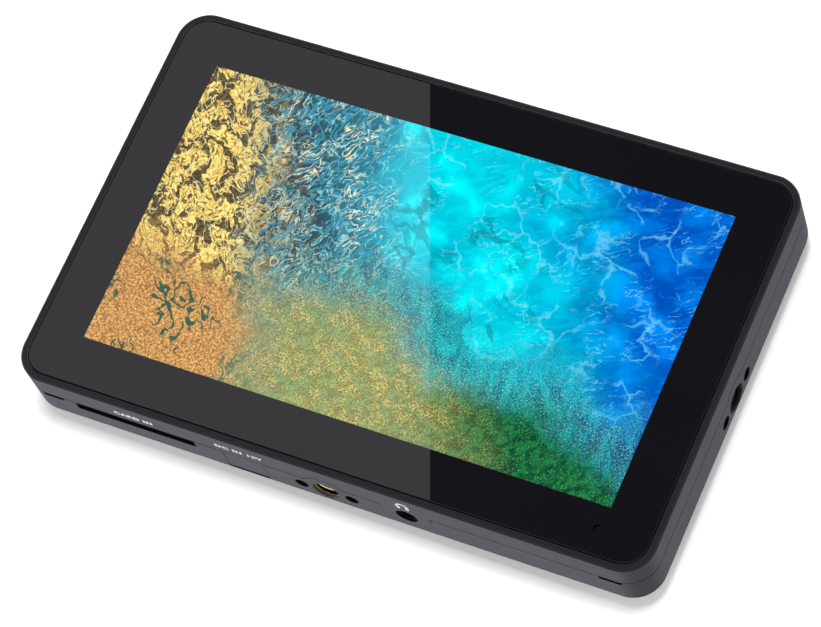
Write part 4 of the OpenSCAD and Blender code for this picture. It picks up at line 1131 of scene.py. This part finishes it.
# %% Contacts in the card socket
CARD_CONTACTS = 9
CARD_PITCH = 2.5 * MM
CARD_CONTACT = (1.2 * MM, 6 * MM, 0.3 * MM)
CARD_ROW_BEHIND = 7 * MM
CARD_ROW_RISE = 0.35 * MM
card_low, card_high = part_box("card_socket")
first = (middle_of("card_socket").x - (CARD_CONTACTS - 1) / 2 * CARD_PITCH,
         card_high.y - CARD_ROW_BEHIND, card_low.z + CARD_ROW_RISE)
row("card_contacts", CARD_CONTACTS, first, (CARD_PITCH, 0, 0), CARD_CONTACT)

# %% [markdown]
# ## Buttons, flap, plate and sockets
# These keep their solid shapes with their edges rounded. A part that a finger touches has a
# softer edge than one that only lies beside another.

# %% Rounded copies of the outer parts
ROUNDED_PARTS = {          # edge radius in mm, body, slot, material
    "dc_flap": (0.05, "power_flap", "casing", wall_finish),
    "power_button": (0.25, "button", "button", control_grey),
    "battery_latch": (0.2, "latch", "button", control_grey),
    "battery_plate": (0.2, "casing", "black_plastic", dark_plastic),
    "contact_block": (0.12, "casing", "black_plastic", dark_plastic),
    "battery_contacts": (0.08, "casing", "brass", plated_gold),
    # the jack's dead black is painted shade, as inside the holes
    "headphone_jack": (0.1, "casing", "black_plastic", recess_painted_shade),
    "video_in_socket": (0.05, "casing", "tin", tinned_steel),
    "video_out_socket": (0.05, "casing", "tin", tinned_steel),
    "video_tongues": (0.1, "casing", "black_plastic", socket_black),
    "bottom_thread_insert": (0.12, "casing", "brass", turned_brass),
    "side_thread_insert": (0.12, "casing", "brass", brass_painted_shade),
}
for node, (radius, body, slot, material) in ROUNDED_PARTS.items():
    piece = rounded_copy(node, node + "_rounded", radius * MM)
    finish(piece, body, material, [node])
print("rounded parts:", len(ROUNDED_PARTS))

# %% [markdown]
# Inside an insert the brass between the ridges is painted black as painted shade deep in the bore, and only
# the ridges and the mouth shine. So the faces of each bore get the painted shade.

# %% Dark bores in the inserts
BORE_REACH = 2.65 * MM       # faces whose middle lies nearer than this are in the bore
# painted shade on the faces of each bore
for node in INSERTS:
    insert = bpy.data.objects[node + "_rounded"]
    insert.data.materials.append(recess_painted_shade)
    middle = middle_of(node)
    along = 1 if node.startswith("bottom") else 0
    for face in insert.data.polygons:
        away = face.center - middle
        away[along] = 0.0
        if away.length < BORE_REACH and abs(face.normal[along]) < 0.5:
            face.material_index = 1
print("bores painted:", len(INSERTS))

# %% [markdown]
# The latch has ribs for the thumb, made by the same tree as the contacts.

# %% Ribs on the latch
RIB_COUNT = 4
RIB_STEP = 1.1 * MM
RIB = (8.4 * MM, 0.45 * MM, 0.36 * MM)
FIRST_RIB = 3.0 * MM         # from the latch's middle
FINGER_FACE = 1.1 * MM       # above the latch's lowest point
latch_low, latch_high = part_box("battery_latch")
latch_middle = middle_of("battery_latch")
row("latch_ribs", RIB_COUNT, (latch_middle.x, latch_middle.y - FIRST_RIB, latch_low.z + FINGER_FACE),
    (0, RIB_STEP, 0), RIB, control_grey, "latch")

# %% [markdown]
# ## The latch spring
# A coil spring pushes the latch out. It is the thread's tree again, with a round wire for its profile. A
# real spring gets shorter when the latch goes in, and its top end stays in the cup.

# %% The coil
SPRING_WIRE_R = 0.2 * MM
SPRING_TURNS = 4
COIL_SIDES = 10
spring_low, spring_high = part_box("latch_spring")
coil_height = spring_high.z - spring_low.z - 2 * SPRING_WIRE_R
spring = run_tree("latch_spring_coil", thread_tree, {
    "Radius": (spring_high.x - spring_low.x) / 2 - SPRING_WIRE_R, "Length": coil_height,
    "Turns": SPRING_TURNS, "Ridge": SPRING_WIRE_R, "Sides": COIL_SIDES, "Material": sheet_steel})
spring.data.transform(Matrix.Translation((latch_middle.x, latch_middle.y, spring_low.z + SPRING_WIRE_R)))
finish(spring, "casing", sheet_steel, ["latch_spring"])
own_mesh(spring)

# %% [markdown]
# ## Inside the casing
# The pieces inside keep their solid shapes: they are seen only through the vents and ports, or
# when a shell is taken away. Each still gets the finish of the real thing.

# %% Finishes of the pieces that keep their shape
INNER_FINISHES = {
    dark_plastic: ["latch_cup", "display_tape", "glass_glue"],
    socket_black: ["dc_jack", "power_switch", "touch_sensor", "display_cell"],
    white_plastic: ["flex_sockets", "lead_socket", "switch_plunger", "backlight_strip",
                    "diffuser_films", "indicator_led"],
    chip_black: ["video_processor", "memory_chips", "power_coils"],
    pad_blue: ["thermal_pad"],
    amber_film: ["display_flex", "touch_flex"],
    red_sleeve: ["battery_leads"],
    sheet_steel: ["display_tray", "card_socket", "flap_pin"],
    plate_alloy: ["chassis_plate"],
    dark_alloy: ["heat_spreader"],
    tinned_steel: ["dc_jack_pin", "filter_capacitors"],
    board_lacquer: ["main_board"],
    clear_moulding: ["light_pipe", "light_guide"],
}
for material, nodes in INNER_FINISHES.items():
    for node in nodes:
        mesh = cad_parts[node].data
        mesh.materials.clear()
        mesh.materials.append(material)
print("nodes with a finish:", sum(len(n) for n in INNER_FINISHES.values()))

# %% [markdown]
# ## The stage
# The photograph has a plain white ground with a soft shadow round the monitor. A large floor
# lies under the part. It looks white to the camera, and a little greyer to the light that
# bounces off it, so it doesn't fill the shadows.

# %% The floor and its finish
FLOOR_SIZE = 6.0
FLOOR_GAP = 0.05 * MM
GROUND_GLOW = 0.27           # keeps the ground white at a plain level of light
GROUND_BOUNCE = 0.72         # the grey that the bounced light sees
WHITE = rgb(1.0, 1.0, 1.0)


def seen_directly(tree):
    """1 for rays that show a thing: straight, mirrored or through glass."""
    path = tree.nodes.new("ShaderNodeLightPath").outputs
    mirrored = calc(tree, "MAXIMUM", path["Is Glossy Ray"], path["Is Transmission Ray"])
    return calc(tree, "MAXIMUM", path["Is Camera Ray"], mirrored)


floor_material, tree, principled = new_material("white_ground")
shown = seen_directly(tree)
bounced = rgb(GROUND_BOUNCE, GROUND_BOUNCE, GROUND_BOUNCE)
fill_named(tree, principled, Base_Color=mix(tree, shown, bounced, WHITE), Emission_Color=WHITE,
           Emission_Strength=times(tree, shown, GROUND_GLOW), Roughness=1.0,
           Specular_IOR_Level=0.0)


def sheet_mesh(name, corners, material):
    """A flat sheet with four corners, for what stands round the monitor."""
    mesh = bpy.data.meshes.new(name)
    mesh.from_pydata([tuple(c) for c in corners], [], [(0, 1, 2, 3)])
    mesh.materials.append(material)
    return mesh


half = FLOOR_SIZE / 2
floor_z = cad_box[0][2] - FLOOR_GAP
floor_corners = [(x * half, y * half, floor_z) for x, y in ((-1, -1), (1, -1), (1, 1), (-1, 1))]
floor_mesh = sheet_mesh("ground", floor_corners, floor_material)
add_object("ground", floor_mesh)
print("floor at", round(floor_z / MM, 2), "mm")

# %% [markdown]
# The glass mirrors its surroundings. In the photograph its left half carries a pale veil that
# ends in a straight upright edge, where a dark flag beside the lamp begins. Here the white world
# gives the veil, and a dark card, seen only in reflections, hides the world from the right
# half. The card's edge is found by following the camera's rays to the glass and on from there.

# %% The dark card
VEIL_EDGE_PX = 430
CARD_PX = {"right": 1500, "top": -300, "bottom": 900}
CARD_REACH = 0.9


def ray_to_glass(px, py):
    """Where the photograph's pixel falls on the glass."""
    across = (px - PHOTO_W / 2) / FOCAL_PIXELS
    upwards = (PHOTO_H / 2 - py) / FOCAL_PIXELS
    way = right * across + up * upwards - back
    return camera_place + way * ((glass_high.z - camera_place.z) / way.z)


mirrored_camera = Vector((camera_place.x, camera_place.y, 2 * glass_high.z - camera_place.z))
corners = []
for px, py in ((VEIL_EDGE_PX, CARD_PX["top"]), (VEIL_EDGE_PX, CARD_PX["bottom"]),
               (CARD_PX["right"], CARD_PX["bottom"]), (CARD_PX["right"], CARD_PX["top"])):
    spot = ray_to_glass(px, py)
    corners.append(spot + (spot - mirrored_camera) * CARD_REACH)
card_material, tree, principled = new_material("dark_flag")
fill_named(tree, principled, Base_Color=rgb(0.0, 0.0, 0.0), Specular_IOR_Level=0.0)
card = add_object("dark_card", sheet_mesh("dark_card", corners, card_material))
for kind in ("camera", "diffuse", "transmission", "volume_scatter", "shadow"):
    setattr(card, "visible_" + kind, False)
print("card corners in mm:", [[round(v / MM) for v in c] for c in corners])

# %% [markdown]
# ## Light
# A white world fills from all round. Most of the light comes from one lamp high above, a little
# beyond the upper right corner, so the shadow stays close round the walls. Two low lamps light
# the walls from their far ends, so the lower right corner between them stays dark. Their
# strengths are plain, so that a colour looks about as it is written.

# %% The world and the lamps
WORLD_FILL = 0.20
MONITOR_MIDDLE = Vector((0, 0, 0.01))
LAMPS = {                    # place and width in metres, strength in watts
    "front_lamp": ((-1.25, -0.8, 0.12), 0.6, 28),
    "side_lamp": ((0.9, 1.3, 0.12), 0.6, 18.5),
    "top_lamp": ((0.09, 0.09, 1.5), 0.45, 17),
}

world = bpy.data.worlds.new("studio")
bpy.context.scene.world = world
world.use_nodes = True
tree = world.node_tree
level = add_node(tree, "ShaderNodeMapRange", Value=seen_directly(tree), To_Min=WORLD_FILL, To_Max=1.0)
fill_named(tree, tree.nodes["Background"], Color=WHITE, Strength=level.outputs["Result"])

for name, (place, width, watts) in LAMPS.items():
    data = bpy.data.lights.new(name, "AREA")
    data.shape = "DISK"
    data.size = width
    data.energy = watts
    lamp = add_object(name, data)
    turn = (Vector(place) - MONITOR_MIDDLE).to_track_quat("Z", "Y")
    lamp.matrix_world = Matrix.Translation(place) @ turn.to_matrix().to_4x4()
    lamp.visible_glossy = False
print("lamps:", len(LAMPS))

# %% [markdown]
# ## Finish
# The colours are shown plainly.

# %% Show the colours plainly
bpy.context.scene.view_settings.view_transform = "Standard"
